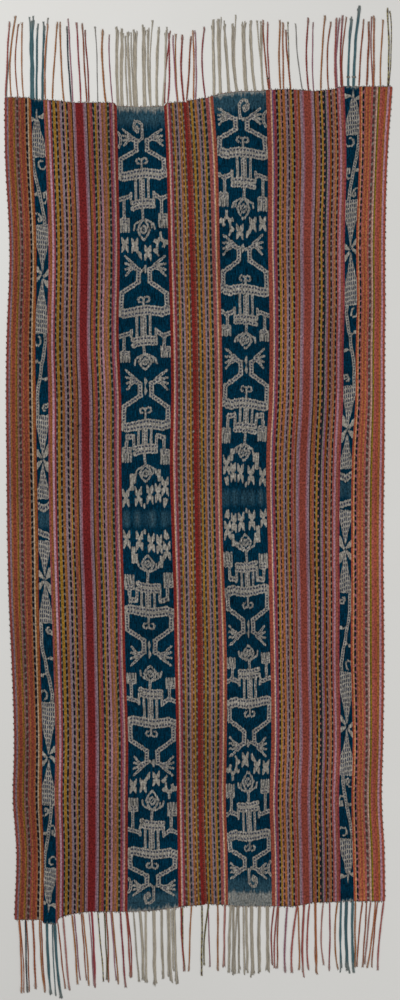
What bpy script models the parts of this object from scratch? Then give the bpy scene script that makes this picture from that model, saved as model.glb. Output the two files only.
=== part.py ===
"""A two-panel ikat cloth that lies flat, with a fringe of twisted warp ends on both ends of each panel.

Metres, +Z up. X runs across the cloth, +Y along its warp, and Z = 0 is the surface that it lies on.
The tables are in millimetres. Both panels are described from their outer selvedge to the seam.
"""
import bpy
import numpy as np

MM = 0.001

# Cloth
PANEL_WIDTH = 488.0
CLOTH_THICKNESS = 1.5
CLEARANCE = 0.3
ROWS_ALONG = 36

# Fringe: the woven strip that holds the warp ends, and the twisted ends themselves
STRIP_DEPTH = 5.0
ROOT_INSET = 2.0
ROOT_FLOOR = 0.4
ROOT_TOP = 1.1
STRAND_HEIGHT_SHARE = 0.7
STRAND_TOP_SHARE = 0.55
STRAND_SWELL_AFTER = 4.0
SWAY_SHARE = 0.015

# Where the two selvedges and the seam run, in places across, at places along the cloth from foot to top
EDGE_COLUMNS = ("along", "left", "seam", "right")
EDGE_LINES = (
    (-1070, -478, 19, 485),
    (-900, -473, 12, 483),
    (-770, -482, 9, 476),
    (-640, -479, 8, 479),
    (-380, -487, 7, 482),
    (-120, -496, 2, 480),
    (140, -499, -2, 483),
    (400, -499, -6, 484),
    (660, -491, -13, 485),
    (920, -503, -23, 492),
    (1080, -504, -34, 504),
)

# Where the weaving stops at the top and the foot, at places across from the outer selvedge
END_COLUMNS = ("across", "top", "foot")
LEFT_ENDS = (
    (0, 1055, -1082),
    (68, 1054, -1082),
    (74, 1050, -1091),
    (107, 1048, -1094),
    (116, 1048, -1076),
    (145, 1046, -1068),
    (190, 1041, -1061),
    (240, 1041, -1061),
    (286, 1041, -1061),
    (294, 1033, -1061),
    (355, 1030, -1059),
    (422, 1032, -1050),
    (430, 1040, -1047),
    (488, 1043, -1043),
)
RIGHT_ENDS = (
    (0, 1083, -1034),
    (40, 1083, -1034),
    (80, 1083, -1034),
    (113, 1084, -1034),
    (140, 1076, -1036),
    (190, 1071, -1037),
    (210, 1073, -1042),
    (250, 1076, -1048),
    (301, 1074, -1046),
    (315, 1071, -1047),
    (360, 1071, -1047),
    (400, 1065, -1047),
    (422, 1060, -1044),
    (435, 1054, -1043),
    (488, 1046, -1041),
)

# The two soft fold lines, a pair of rows each, and the low cockles of the cloth
# columns: middle x, middle y, half size across, half size along, height
COCKLES = (
    (-250, 487, 420, 70, 2.4),
    (260, 487, 420, 70, 2.0),
    (-240, -84, 420, 75, 2.2),
    (250, -84, 420, 75, 2.6),
    (-360, 880, 95, 130, 4.0),
    (-130, 760, 80, 120, 3.0),
    (330, 840, 100, 150, 3.6),
    (140, 900, 75, 100, 2.8),
    (-330, 230, 110, 140, 3.0),
    (300, 190, 120, 120, 3.2),
    (-180, -430, 100, 150, 3.4),
    (370, -480, 80, 160, 3.0),
    (-350, -800, 90, 150, 4.0),
    (150, -760, 110, 120, 3.4),
)

# The fringes, group by group from left to right. The strands of a group are spread evenly between its
# first and its last: where they leave the cloth, where their tips lie across, and how far from the
# middle of the cloth the tips reach along it
# columns: count, first root, last root, first tip, last tip, first reach, last reach, width of a strand
TOP_LEFT_STRANDS = (
    (4, -500, -454, -493, -457, 1256, 1247, 4.0),
    (3, -433, -405, -435, -401, 1267, 1251, 7.5),
    (3, -395, -350, -392, -358, 1247, 1252, 3.8),
    (5, -332, -286, -342, -294, 1249, 1236, 4.0),
    (3, -262, -226, -268, -233, 1240, 1220, 3.6),
    (10, -209, -93, -213, -85, 1243, 1234, 7.6),
    (4, -78, -38, -77, -44, 1228, 1217, 3.8),
)
TOP_RIGHT_STRANDS = (
    (3, -31, -7, -21, -5, 1218, 1228, 3.8),
    (1, 18, 18, 15, 15, 1238, 1238, 3.6),
    (7, 40, 169, 35, 152, 1260, 1254, 7.4),
    (5, 180, 242, 167, 233, 1254, 1247, 3.8),
    (5, 271, 337, 259, 343, 1245, 1258, 3.4),
    (4, 360, 378, 360, 384, 1263, 1265, 3.6),
    (2, 389, 403, 398, 418, 1262, 1290, 7.0),
    (4, 417, 453, 428, 454, 1257, 1268, 3.8),
    (2, 473, 493, 480, 491, 1258, 1288, 3.6),
)
FOOT_LEFT_STRANDS = (
    (3, -466, -430, -458, -423, 1273, 1262, 4.8),
    (1, -410, -410, -400, -400, 1271, 1271, 6.0),
    (3, -395, -371, -386, -358, 1275, 1290, 6.0),
    (4, -363, -324, -348, -308, 1262, 1238, 4.2),
    (4, -305, -277, -290, -267, 1242, 1265, 4.2),
    (4, -262, -226, -250, -214, 1244, 1248, 4.4),
    (3, -202, -168, -190, -155, 1250, 1243, 4.6),
    (7, -153, -62, -142, -57, 1248, 1240, 7.4),
    (3, -46, -18, -40, -25, 1215, 1217, 3.6),
    (1, 9, 9, 7, 7, 1228, 1228, 4.0),
)
FOOT_RIGHT_STRANDS = (
    (2, 26, 50, 16, 50, 1200, 1214, 3.6),
    (1, 68, 68, 65, 65, 1215, 1215, 5.6),
    (8, 82, 179, 78, 180, 1228, 1224, 7.2),
    (3, 191, 208, 190, 206, 1203, 1210, 3.8),
    (5, 232, 289, 226, 286, 1220, 1226, 4.8),
    (4, 304, 362, 306, 361, 1216, 1212, 4.4),
    (3, 372, 400, 372, 404, 1221, 1220, 7.2),
    (4, 410, 447, 412, 437, 1208, 1204, 4.0),
    (3, 460, 482, 447, 468, 1206, 1212, 4.0),
)

CLOTH_COLOUR = (0.24, 0.07, 0.05, 1.0)
FRINGE_COLOUR = (0.33, 0.22, 0.16, 1.0)


def remove_everything():
    """Starts from an empty scene."""
    for old in list(bpy.data.objects):
        bpy.data.objects.remove(old, do_unlink=True)


def column(rows, names, name):
    """One named column of a table, as an array."""
    return np.array([row[names.index(name)] for row in rows], dtype=float)


def smooth_curve(at, places, values):
    """A cubic through the values, whose slope at each place is that of the chords beside it."""
    slopes = np.gradient(values, places)
    span = np.clip(np.searchsorted(places, at) - 1, 0, len(places) - 2)
    length = places[span + 1] - places[span]
    t = np.clip((at - places[span]) / length, 0.0, 1.0)
    start = (1 + 2 * t) * (1 - t) ** 2 * values[span] + t * (1 - t) ** 2 * length * slopes[span]
    finish = t * t * (3 - 2 * t) * values[span + 1] + t * t * (t - 1) * length * slopes[span + 1]
    return start + finish


def edge_line(name, along):
    """How far across a selvedge or the seam lies, at places along the cloth."""
    return smooth_curve(along, column(EDGE_LINES, EDGE_COLUMNS, "along"),
                        column(EDGE_LINES, EDGE_COLUMNS, name))


def end_line(ends, name, across):
    """How far along the weaving of one panel stops, at places across from the outer selvedge."""
    return np.interp(across, column(ends, END_COLUMNS, "across"), column(ends, END_COLUMNS, name))


def place_across(side, across, along):
    """From the outer selvedge to the seam, where a warp thread lies at places along the cloth.

    The seam side of each panel keeps half of the clearance between the two.
    """
    outer = edge_line(side, along)
    towards_outer = -1.0 if side == "left" else 1.0
    seam = edge_line("seam", along) + towards_outer * CLEARANCE / 2
    return outer + (seam - outer) * across / PANEL_WIDTH


def cockle_height(x, y):
    """The lift of the cloth off the surface: round bumps, each a product of two raised cosines."""
    lift = np.zeros_like(x)
    for middle_x, middle_y, half_across, half_along, height in COCKLES:
        u = np.clip(np.abs(x - middle_x) / half_across, 0.0, 1.0)
        v = np.clip(np.abs(y - middle_y) / half_along, 0.0, 1.0)
        bump = height * (0.5 + 0.5 * np.cos(np.pi * u)) * (0.5 + 0.5 * np.cos(np.pi * v))
        lift = np.maximum(lift, bump)
    return lift


def slab_faces(rows, columns):
    """Faces of a grid of points and its copy below, joined round the rim, with outward sides."""
    def point(row, across, layer):
        return layer * rows * columns + row * columns + across

    faces = []
    for row in range(rows - 1):
        for across in range(columns - 1):
            top = [point(row, across, 0), point(row, across + 1, 0),
                   point(row + 1, across + 1, 0), point(row + 1, across, 0)]
            bottom = [corner + rows * columns for corner in reversed(top)]
            faces += [top, bottom]
    rim = [(0, c) for c in range(columns - 1)]
    rim += [(r, columns - 1) for r in range(rows - 1)]
    rim += [(rows - 1, c) for c in range(columns - 1, 0, -1)]
    rim += [(r, 0) for r in range(rows - 1, 0, -1)]
    for here, after in zip(rim, rim[1:] + rim[:1]):
        faces.append([point(*after, 0), point(*here, 0), point(*here, 1), point(*after, 1)])
    return faces


def slab(name, x, y, floor, thickness):
    """A sheet of even thickness over a grid of places, resting at the floor's heights."""
    top = np.stack([x, y, floor + thickness], axis=-1).reshape(-1, 3)
    bottom = np.stack([x, y, floor], axis=-1).reshape(-1, 3)
    return mesh_object(name, np.concatenate([top, bottom]), slab_faces(*x.shape))


def mesh_object(name, points, faces):
    """An object from points in millimetres."""
    mesh = bpy.data.meshes.new(name)
    mesh.from_pydata((points * MM).tolist(), [], faces)
    mesh.validate()
    made = bpy.data.objects.new(name, mesh)
    bpy.context.scene.collection.objects.link(made)
    return made


def panel(name, side, ends):
    """One loom width of cloth, from the strip at its top fringe to the strip at its foot fringe."""
    across = column(ends, END_COLUMNS, "across")
    if side == "right":
        across = across[::-1]
    held_back = STRIP_DEPTH + CLEARANCE
    foot = end_line(ends, "foot", across) + held_back
    top = end_line(ends, "top", across) - held_back
    share = np.linspace(0.0, 1.0, ROWS_ALONG + 1)[:, None]
    y = foot + (top - foot) * share
    x = place_across(side, across[None, :], y)
    return slab(name, x, y, cockle_height(x, y), CLOTH_THICKNESS)


def fringe_strip(name, side, ends, end):
    """The last few picks of the weaving, which hold the warp ends together."""
    across = column(ends, END_COLUMNS, "across")
    if side == "right":
        across = across[::-1]
    line = end_line(ends, end, across)
    if end == "top":
        y = np.stack([line - STRIP_DEPTH, line])
    else:
        y = np.stack([line, line + STRIP_DEPTH])
    x = place_across(side, across[None, :], y)
    return slab(name, x, y, np.zeros_like(x), CLOTH_THICKNESS)


def strand_rings(root, tip, start, reach, width, sway):
    """Middles, widths, floors and heights of a strand's rings, from inside the strip to its tip.

    The strand leaves the strip thin, swells to its twisted width, sways a little to one side and
    back, and narrows to its tip. Beyond the strip it rests level on the surface.
    """
    outward = np.sign(reach)
    length = abs(reach - start)
    swelled = STRAND_SWELL_AFTER / length
    share = np.array([-ROOT_INSET / length, swelled, 0.35, 0.65, 0.92, 1.0])
    width_shares = np.array([0.5, 1.0, 1.0, 0.95, 0.75, 0.3])
    x = root + (tip - root) * share + sway * np.sin(2 * np.pi * np.clip(share, 0, 1))
    y = start + outward * length * share
    height = width * width_shares * STRAND_HEIGHT_SHARE
    floor = np.zeros(len(share))
    floor[0] = ROOT_FLOOR
    height[0] = ROOT_TOP - ROOT_FLOOR
    return x, y, width * width_shares, floor, height


def strand_points(x, y, widths, floor, height, outward):
    """Four corners a ring: a flat base on the surface and a narrower top."""
    half = widths / 2 * outward
    top = half * STRAND_TOP_SHARE
    corners = [(x - half, floor), (x + half, floor), (x + top, floor + height), (x - top, floor + height)]
    return np.stack([np.stack([cx, y, cz], axis=-1) for cx, cz in corners], axis=1).reshape(-1, 3)


def strand_faces(rings, first):
    """Side walls between the rings and a cap on each end."""
    faces = [[first + 3, first + 2, first + 1, first]]
    for ring in range(rings - 1):
        base = first + 4 * ring
        for side in range(4):
            after = (side + 1) % 4
            faces.append([base + side, base + after, base + 4 + after, base + 4 + side])
    last = first + 4 * (rings - 1)
    faces.append([last, last + 1, last + 2, last + 3])
    return faces


def fringe(name, side, ends, end, groups):
    """A strip and its strands, made one solid."""
    strip = fringe_strip(name, side, ends, end)
    outward = 1.0 if end == "top" else -1.0
    points = []
    faces = []
    for count, first_root, last_root, first_tip, last_tip, first_reach, last_reach, width in groups:
        share = np.linspace(0.0, 1.0, count) if count > 1 else np.zeros(1)
        roots = first_root + (last_root - first_root) * share
        tips = first_tip + (last_tip - first_tip) * share
        reaches = outward * (first_reach + (last_reach - first_reach) * share)
        for root, tip, reach in zip(roots, tips, reaches):
            start = strip_edge_at(side, ends, end, root)
            sway = SWAY_SHARE * abs(reach - start)
            rings = strand_rings(root, tip, start, reach, width, sway)
            faces += strand_faces(len(rings[0]), sum(len(made) for made in points))
            points.append(strand_points(*rings, outward))
    strands = mesh_object(name + "_strands", np.concatenate(points), faces)
    strands.hide_render = True
    strands.display_type = "WIRE"
    join = strip.modifiers.new("fused roots", "BOOLEAN")
    join.operation = "UNION"
    join.solver = "EXACT"
    join.object = strands
    return strip


def strip_edge_at(side, ends, end, x):
    """How far along the strip's outer edge lies at a place across the whole cloth."""
    end_of_cloth = np.mean(column(ends, END_COLUMNS, end))
    outer = edge_line(side, end_of_cloth)
    seam = edge_line("seam", end_of_cloth)
    across = PANEL_WIDTH * (x - outer) / (seam - outer)
    return end_line(ends, end, across)


def cotton(name, colour):
    """Matt handspun cotton."""
    material = bpy.data.materials.new(name)
    material.use_nodes = True
    shader = material.node_tree.nodes["Principled BSDF"]
    shader.inputs["Base Color"].default_value = colour
    shader.inputs["Roughness"].default_value = 0.9
    shader.inputs["Metallic"].default_value = 0.0
    return material


def dress(made, material):
    """Gives an object its one material."""
    made.data.materials.append(material)


def build_cloth():
    """Two panels side by side and a fringe on each of their four ends."""
    striped = cotton("striped cotton", CLOTH_COLOUR)
    twisted = cotton("twisted warp ends", FRINGE_COLOUR)
    dress(panel("panel_left", "left", LEFT_ENDS), striped)
    dress(panel("panel_right", "right", RIGHT_ENDS), striped)
    dress(fringe("fringe_top_left", "left", LEFT_ENDS, "top", TOP_LEFT_STRANDS), twisted)
    dress(fringe("fringe_top_right", "right", RIGHT_ENDS, "top", TOP_RIGHT_STRANDS), twisted)
    dress(fringe("fringe_foot_left", "left", LEFT_ENDS, "foot", FOOT_LEFT_STRANDS), twisted)
    dress(fringe("fringe_foot_right", "right", RIGHT_ENDS, "foot", FOOT_RIGHT_STRANDS), twisted)


remove_everything()
build_cloth()
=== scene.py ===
"""The looks of a two-panel warp ikat cloth that lies flat on a pale floor, seen square on from above.

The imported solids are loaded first, and every piece made here stands for one of them or lies on one.
X runs across the cloth, +Y along its warp, and Z = 0 is the floor. Tables are in millimetres, as in the
part's own source, and points become metres only where a mesh is made. Both panels are described from
their outer selvedge to the seam, so the right one is laid out as the left one mirrored.
"""

import bpy
import numpy as np
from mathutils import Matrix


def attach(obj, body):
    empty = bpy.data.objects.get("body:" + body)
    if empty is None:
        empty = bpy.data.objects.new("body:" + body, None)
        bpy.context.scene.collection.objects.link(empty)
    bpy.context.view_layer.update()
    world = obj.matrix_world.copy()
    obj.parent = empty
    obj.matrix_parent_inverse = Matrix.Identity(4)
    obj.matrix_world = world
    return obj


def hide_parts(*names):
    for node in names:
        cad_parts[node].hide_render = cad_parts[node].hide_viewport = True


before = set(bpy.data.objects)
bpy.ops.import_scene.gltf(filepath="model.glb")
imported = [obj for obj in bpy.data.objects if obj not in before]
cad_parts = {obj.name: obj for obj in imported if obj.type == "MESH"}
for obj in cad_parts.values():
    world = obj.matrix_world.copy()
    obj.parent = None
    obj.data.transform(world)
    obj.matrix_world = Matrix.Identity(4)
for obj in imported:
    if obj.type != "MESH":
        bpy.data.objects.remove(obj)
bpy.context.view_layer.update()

MM = 0.001
FAR = 99.0
SEED = 11

# The cloth, as the solids have it
PANEL_WIDTH = 488.0
CLOTH_THICKNESS = 1.5
CLEARANCE = 0.3
FLOOR_GAP = 0.02

# How each end of the cloth is found: which way is outward along it, and its column in the tables of ends
OUTWARD = {"top": 1.0, "foot": -1.0}
END_COLUMN = {"top": 1, "foot": 2}

# Rows of the weave's mesh, three millimetres apart, and the fewer rows of its underside
FACE_ROWS = 684
UNDER_ROWS = 36
ROWS_ABOVE = FACE_ROWS // UNDER_ROWS
RAGGED_END = 0.7

# Where charted warp threads lie across the floor, at places along the cloth from foot to top
# columns: along, outer selvedge, both edges of the narrow ikat, the wide plain stripe, both edges of the
# wide ikat, seam
LEFT_WARP_LINES = (
    (-1070, -478, -403, -371, -279, -185, -52, 19),
    (-900, -473, -402, -370, -277, -184, -54, 12),
    (-770, -482, -407, -374, -277, -184, -56, 9),
    (-640, -479, -406, -372, -277, -183, -57, 8),
    (-380, -487, -412, -378, -281, -191, -62, 7),
    (-250, -493, -415, -382, -284, -193, -64, 4),
    (-120, -496, -416, -386, -289, -197, -68, 2),
    (140, -499, -421, -390, -293, -201, -74, -2),
    (270, -500, -423, -390, -294, -201, -71, -4),
    (400, -499, -424, -393, -299, -207, -72, -6),
    (660, -491, -421, -390, -297, -205, -78, -13),
    (920, -503, -432, -398, -306, -210, -84, -23),
    (1080, -504, -436, -405, -313, -214, -92, -34),
)
RIGHT_WARP_LINES = (
    (-1070, 485, 405, 369, 281, 191, 77, 19),
    (-900, 483, 401, 368, 278, 189, 75, 12),
    (-770, 476, 398, 365, 275, 185, 71, 9),
    (-640, 479, 401, 369, 279, 189, 73, 8),
    (-380, 482, 396, 366, 275, 187, 73, 7),
    (-250, 481, 397, 367, 274, 184, 69, 4),
    (-120, 480, 397, 366, 271, 181, 64, 2),
    (140, 483, 400, 370, 273, 177, 60, -2),
    (270, 484, 408, 376, 280, 183, 62, -4),
    (400, 484, 409, 377, 282, 185, 61, -6),
    (530, 485, 412, 380, 284, 184, 58, -9),
    (660, 485, 410, 380, 283, 181, 55, -13),
    (920, 492, 418, 384, 287, 180, 48, -23),
    (1080, 504, 418, 379, 282, 175, 36, -34),
)
# Where those threads lie on the loom, from the outer selvedge, and which of them bound each group
LEFT_LOOM_PLACES = (0, 73, 107, 201.5, 294, 422, 488)
RIGHT_LOOM_PLACES = (0, 80, 113, 208, 301, 422, 488)
OUTER = (0, 1)
NARROW = (1, 2)
MIDDLE = (2, 4)
WIDE = (4, 5)
INNER = (5, 6)

# Where the weaving stops, at places across the loom
# columns: across, top, foot
LEFT_ENDS = (
    (0, 1055, -1082),
    (68, 1054, -1082),
    (74, 1050, -1091),
    (107, 1048, -1094),
    (116, 1048, -1076),
    (145, 1046, -1068),
    (190, 1041, -1061),
    (240, 1041, -1061),
    (286, 1041, -1061),
    (294, 1033, -1061),
    (355, 1030, -1059),
    (422, 1032, -1050),
    (430, 1040, -1047),
    (488, 1043, -1043),
)
RIGHT_ENDS = (
    (0, 1083, -1034),
    (40, 1083, -1034),
    (80, 1083, -1034),
    (113, 1084, -1034),
    (140, 1076, -1036),
    (190, 1071, -1037),
    (210, 1073, -1042),
    (250, 1076, -1048),
    (301, 1074, -1046),
    (315, 1071, -1047),
    (360, 1071, -1047),
    (400, 1065, -1047),
    (422, 1060, -1044),
    (435, 1054, -1043),
    (488, 1046, -1041),
)

# The soft fold lines and the low cockles of the cloth
# columns: middle x, middle y, half size across, half size along, height
COCKLES = (
    (-250, 487, 420, 70, 2.4),
    (260, 487, 420, 70, 2.0),
    (-240, -84, 420, 75, 2.2),
    (250, -84, 420, 75, 2.6),
    (-360, 880, 95, 130, 4.0),
    (-130, 760, 80, 120, 3.0),
    (330, 840, 100, 150, 3.6),
    (140, 900, 75, 100, 2.8),
    (-330, 230, 110, 140, 3.0),
    (300, 190, 120, 120, 3.2),
    (-180, -430, 100, 150, 3.4),
    (370, -480, 80, 160, 3.0),
    (-350, -800, 90, 150, 4.0),
    (150, -760, 110, 120, 3.4),
)

# Dyed yarns, as they look in daylight
YARNS = {
    "rose brick": "9A4C45", "brick": "944A3A", "brick orange": "984C3C", "orange red": "9C4A32",
    "orange": "A4643E", "orange ochre": "945F36", "pale orange": "B6845A", "golden orange": "A06234",
    "ochre": "A0683C", "golden brown": "905C2E", "brown rose": "925446", "dark orange": "84481C",
    "gold": "9E762C", "olive gold": "806818", "olive": "5A5220", "rose": "9A524C", "rose mauve": "92645E",
    "pink": "A07068", "crimson": "8E3E42", "red": "88342C", "deep red": "862C28", "maroon": "7A2828",
    "brick maroon": "8A4438", "mauve": "94626E", "purple": "905E74", "violet": "7E5C7C", "lilac": "A87E8C",
    "pale lilac": "BE94A4", "lilac grey": "8E7882", "cream": "CCAE90", "stone": "827A72",
    "rose stone": "B49284", "dark line": "362218", "night": "1A1F28", "slate": "2A343A", "dusk": "523A38",
    "teal": "1E3034", "indigo": "0A3A55", "faded indigo": "44646B", "undyed": "A69D8D", "straw": "9A8E5E",
    "grey": "7E7A76", "rust": "8C4A2C", "frayed": "9A958A", "white thread": "C0BCB0",
}

# Stripes from the outer selvedge to the seam: width and yarn, with a second yarn where the two take turns
LEFT_OUTER_STRIPES = (
    (6.0, "rose brick"), (4.6, "lilac grey"), (4.0, "ochre"), (8.0, "brick"), (3.3, "ochre"),
    (2.7, "olive gold"), (4.6, "rose mauve"), (6.0, "stone", "dusk"), (4.0, "rose"), (3.3, "ochre"),
    (8.6, "brick"), (4.0, "orange"), (6.0, "stone", "night"), (3.3, "cream"), (6.0, "golden orange"),
    (1.9, "red"),
)
LEFT_MIDDLE_STRIPES = (
    (4.6, "rose"), (5.6, "orange ochre"), (5.2, "pale lilac"), (4.4, "crimson"), (4.0, "stone", "teal"),
    (6.8, "gold"), (5.0, "stone", "night"), (6.6, "orange ochre"), (5.3, "lilac grey"),
    (5.3, "stone", "night"), (3.3, "pink"), (3.3, "gold"), (4.6, "stone", "night"), (6.0, "brown rose"),
    (4.0, "golden brown"), (2.7, "dark line"), (4.6, "lilac grey"), (3.3, "mauve"), (18.6, "maroon"),
    (3.3, "mauve"), (5.3, "lilac grey"), (2.7, "dark line"), (4.6, "golden brown"), (3.3, "rose"),
    (3.3, "crimson"), (5.3, "stone", "teal"), (4.6, "gold"), (2.7, "pink"), (4.0, "stone", "night"),
    (5.3, "lilac"), (4.6, "orange ochre"), (4.6, "pink", "rose mauve"), (3.3, "ochre"), (2.0, "olive gold"),
    (5.3, "stone", "teal"), (4.0, "crimson"), (4.0, "purple"), (4.0, "rose stone"), (6.6, "red"),
)
LEFT_INNER_STRIPES = (
    (6.0, "deep red"), (2.0, "orange red"), (2.4, "cream"), (2.8, "lilac"), (5.0, "crimson"),
    (5.6, "stone", "dusk"), (4.4, "gold"), (2.8, "pink"), (5.2, "stone", "slate"), (4.2, "lilac grey"),
    (5.0, "ochre"), (3.6, "rose stone", "dusk"), (4.2, "gold"), (4.4, "stone", "dusk"), (7.4, "deep red"),
    (2.2, "red"),
)
RIGHT_OUTER_STRIPES = (
    (6.0, "brick orange"), (5.3, "lilac"), (5.3, "golden brown"), (7.3, "brick"), (6.0, "rose"),
    (3.3, "olive gold"), (2.0, "olive"), (3.6, "rose stone"), (2.4, "rose mauve"), (6.0, "stone", "dusk"),
    (5.3, "rose"), (4.0, "ochre"), (5.3, "brick"), (3.3, "orange"), (4.0, "brown rose"),
    (5.3, "mauve", "night"), (3.3, "pale orange"), (4.6, "orange red"),
)
RIGHT_MIDDLE_STRIPES = (
    (4.6, "crimson"), (6.0, "brown rose"), (5.3, "lilac"), (4.0, "rose brick"), (4.0, "stone", "night"),
    (4.6, "ochre"), (4.6, "rose mauve"), (4.0, "stone", "night"), (5.3, "dark orange"), (4.0, "purple"),
    (3.3, "stone"), (4.0, "slate", "night"), (4.0, "pink", "night"), (4.6, "gold"), (4.6, "stone", "night"),
    (5.3, "brown rose"), (4.6, "golden brown"), (2.7, "dark line"), (5.3, "lilac grey"), (3.3, "mauve"),
    (16.6, "brick maroon"), (3.3, "mauve"), (6.0, "lilac grey"), (4.6, "dark orange"), (3.3, "rose mauve"),
    (5.3, "rose brick"), (4.6, "stone", "night"), (4.6, "gold"), (3.3, "rose mauve"),
    (3.3, "stone", "night"), (4.6, "lilac grey"), (6.0, "golden orange"), (3.3, "pink", "night"),
    (2.7, "pink"), (4.6, "gold"), (4.6, "stone", "night"), (5.6, "crimson"), (3.4, "violet"),
    (3.0, "cream"), (2.6, "rose"), (7.3, "brick orange"),
)
RIGHT_INNER_STRIPES = (
    (6.0, "brick orange"), (1.8, "pale orange"), (2.4, "cream"), (2.8, "mauve"), (6.4, "rose"),
    (5.8, "stone", "teal"), (4.6, "gold"), (2.8, "pink"), (4.6, "stone", "slate"), (4.0, "lilac grey"),
    (6.2, "ochre"), (4.6, "stone", "slate"), (5.2, "gold"), (4.2, "stone", "dusk"), (4.4, "brick orange"),
)

# How late each stripe's turn of yarns is after the one before, as a share of a turn
TURN_SHIFT = 0.37

# Each panel's stripes are in three groups with an ikat band between. The tones say how much of a dyed
# yarn's daylight colour each group still has
PANELS = (
    {"side": "left", "outer side": -1.0, "lines": LEFT_WARP_LINES, "loom": LEFT_LOOM_PLACES,
     "ends": LEFT_ENDS, "tones": (0.58, None, 0.66, None, 0.68),
     "stripes": (LEFT_OUTER_STRIPES, None, LEFT_MIDDLE_STRIPES, None, LEFT_INNER_STRIPES)},
    {"side": "right", "outer side": 1.0, "lines": RIGHT_WARP_LINES, "loom": RIGHT_LOOM_PLACES,
     "ends": RIGHT_ENDS, "tones": (0.84, None, 0.72, None, 0.68),
     "stripes": (RIGHT_OUTER_STRIPES, None, RIGHT_MIDDLE_STRIPES, None, RIGHT_INNER_STRIPES)},
)

# The ikat bands. Each half of a band is charted from the band's middle to the cloth's end, and the other
# half repeats it. Across, a chart runs from the outer side of its band to the seam side. The charts
# below give half widths of strokes, then the points of their lines as (across, along) pairs.
# columns: panel, band, its warp threads, columns of mesh, middle of the band along the cloth, half width
# of the chart, growth of the chart with distance at the top and at the foot (shares a millimetre),
# undyed length and length of the fading at the top, and the same at the foot
IKAT_BANDS = (
    ("left", "narrow", NARROW, 13, -43, 17.0, 0.0, 4.6e-5, 0, 6, 0, 6),
    ("left", "wide", WIDE, 47, -40, 64.0, 0.0, 3.4e-5, 5, 14, 2, 8),
    ("right", "narrow", NARROW, 13, 36, 17.0, 2.4e-5, 4.2e-5, 0, 6, 0, 6),
    ("right", "wide", WIDE, 45, 15, 64.0, 0.0, 2.2e-5, 1, 10, 28, 14),
)

# What is stored on the cloth's points for the ikat, and its value outside the bands
BAND_FIELDS = {"drawing": -FAR, "ties": 0.0, "middle": 0.0, "spindle": -FAR, "dye": 1.0}

# How far each warp slips along the cloth, as a usual error in millimetres
WARP_SLIP = 0.9

# How far past the undyed ends of a wide band the dye is thin, and from where on it is deep
THIN_DYE = (24.0, 62.0)

# Clouds in the dye at the middle of a band: how far they reach along it, how much dye they take, their
# usual strength and its spread, and how each is smoothed over the warps beside it
CLOUD_REACH = 22.0
CLOUD_DEPTH = 0.62
CLOUD_MIDDLE = 0.6
CLOUD_SPREAD = 0.25
CLOUD_SMOOTHING = (0.3, 0.5, 0.6, 0.5, 0.3)

# Dark ties in the middle of the strokes: their spacing across the cloth and along it. In the spindles
# they stand in rows along the cloth and in files across it
TIE_ACROSS = 8.4
TIE_ALONG = 7.6
SPINDLE_ROW = 12.0
SPINDLE_FILE = 5.4

# Parts of a standing figure, about the middle of its hips, with its feet towards the cloth's end
LEGS = (
    (5.7, (-33, 119), (-15, 107), (-15, 76), (-57, 47), (-58, 8)),
    (5.7, (34, 119), (14, 107), (14, 76), (56, 46), (57, 8)),
    ((2.6, 4.0), (-49, 142), (-26, 120)),
    (2.8, (-49, 123), (-32, 119)),
    (2.8, (-48, 108), (-32, 115)),
    ((2.6, 4.0), (-47, 92), (-35, 108), (-27, 112)),
    ((2.6, 4.0), (54, 143), (27, 120)),
    (2.8, (55, 123), (32, 119)),
    (2.8, (55, 108), (32, 115)),
    ((2.6, 4.0), (55, 92), (39, 108), (28, 112)),
)
HIPS = (
    (6.4, (-58, 1), (-50, -2), (-30, 3), (0, 9), (25, 7), (42, 4), (60, 10)),
    (6.4, (-58, -10), (-50, -13), (-30, -9), (0, -4), (25, -6), (42, -9), (60, -2)),
)
ANCHOR = (
    (2.2, (-2, 33), (-8, 36), (-14, 34), (-16, 28), (-13, 23), (-9, 23)),
    (2.2, (-2, 33), (5, 37), (11, 35), (13, 29), (10, 23), (6, 23)),
)
TRUNK = (
    (3.7, (-6, -13), (-6, -66)),
    (3.7, (1, -17), (1, -66)),
    (3.1, (-19, -15), (-19, -66)),
    (3.1, (14, -13), (14, -66)),
)
SHOULDERS = (
    (6.0, (-28, -75), (-5, -71), (26, -71)),
    (6.0, (-27, -90), (-8, -84), (26, -84)),
)
SPREAD_ARMS = (
    ((5.0, 5.8), (-34, -57), (-47, -62), (-62, -66)),
    (3.0, (-33, -66), (-32, -50)),
    (5.4, (31, -54), (47, -65), (64, -56)),
    (3.0, (28, -64), (28, -47)),
)
SQUARE_ARMS = (
    (3.6, (-31, -74), (-31, -50)),
    (7.0, (-35, -46), (-46, -46)),
    (3.4, (-49, -44), (-49, -66)),
    (3.6, (28, -74), (28, -46)),
    ((5.6, 7.0), (31, -43), (45, -48)),
    (3.4, (48, -46), (48, -66)),
)
FACE = (
    (2.3, (0, 0), (-10, -9), (-16, -21), (-10, -31), (0, -41), (10, -31), (16, -20), (9, -9), (0, 0)),
    (2.1, (0, -12), (-7, -17), (-7, -23), (0, -28), (7, -23), (7, -17), (0, -12)),
    (1.4, (-1, -19), (1, -21)),
)
HORNS = (
    (2.2, (-4, -1), (-14, -7), (-24, -14), (-26, -27)),
    (2.2, (4, -1), (17, -6), (26, -12), (29, -25)),
    (1.8, (20, -12), (21, -22)),
)

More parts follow.
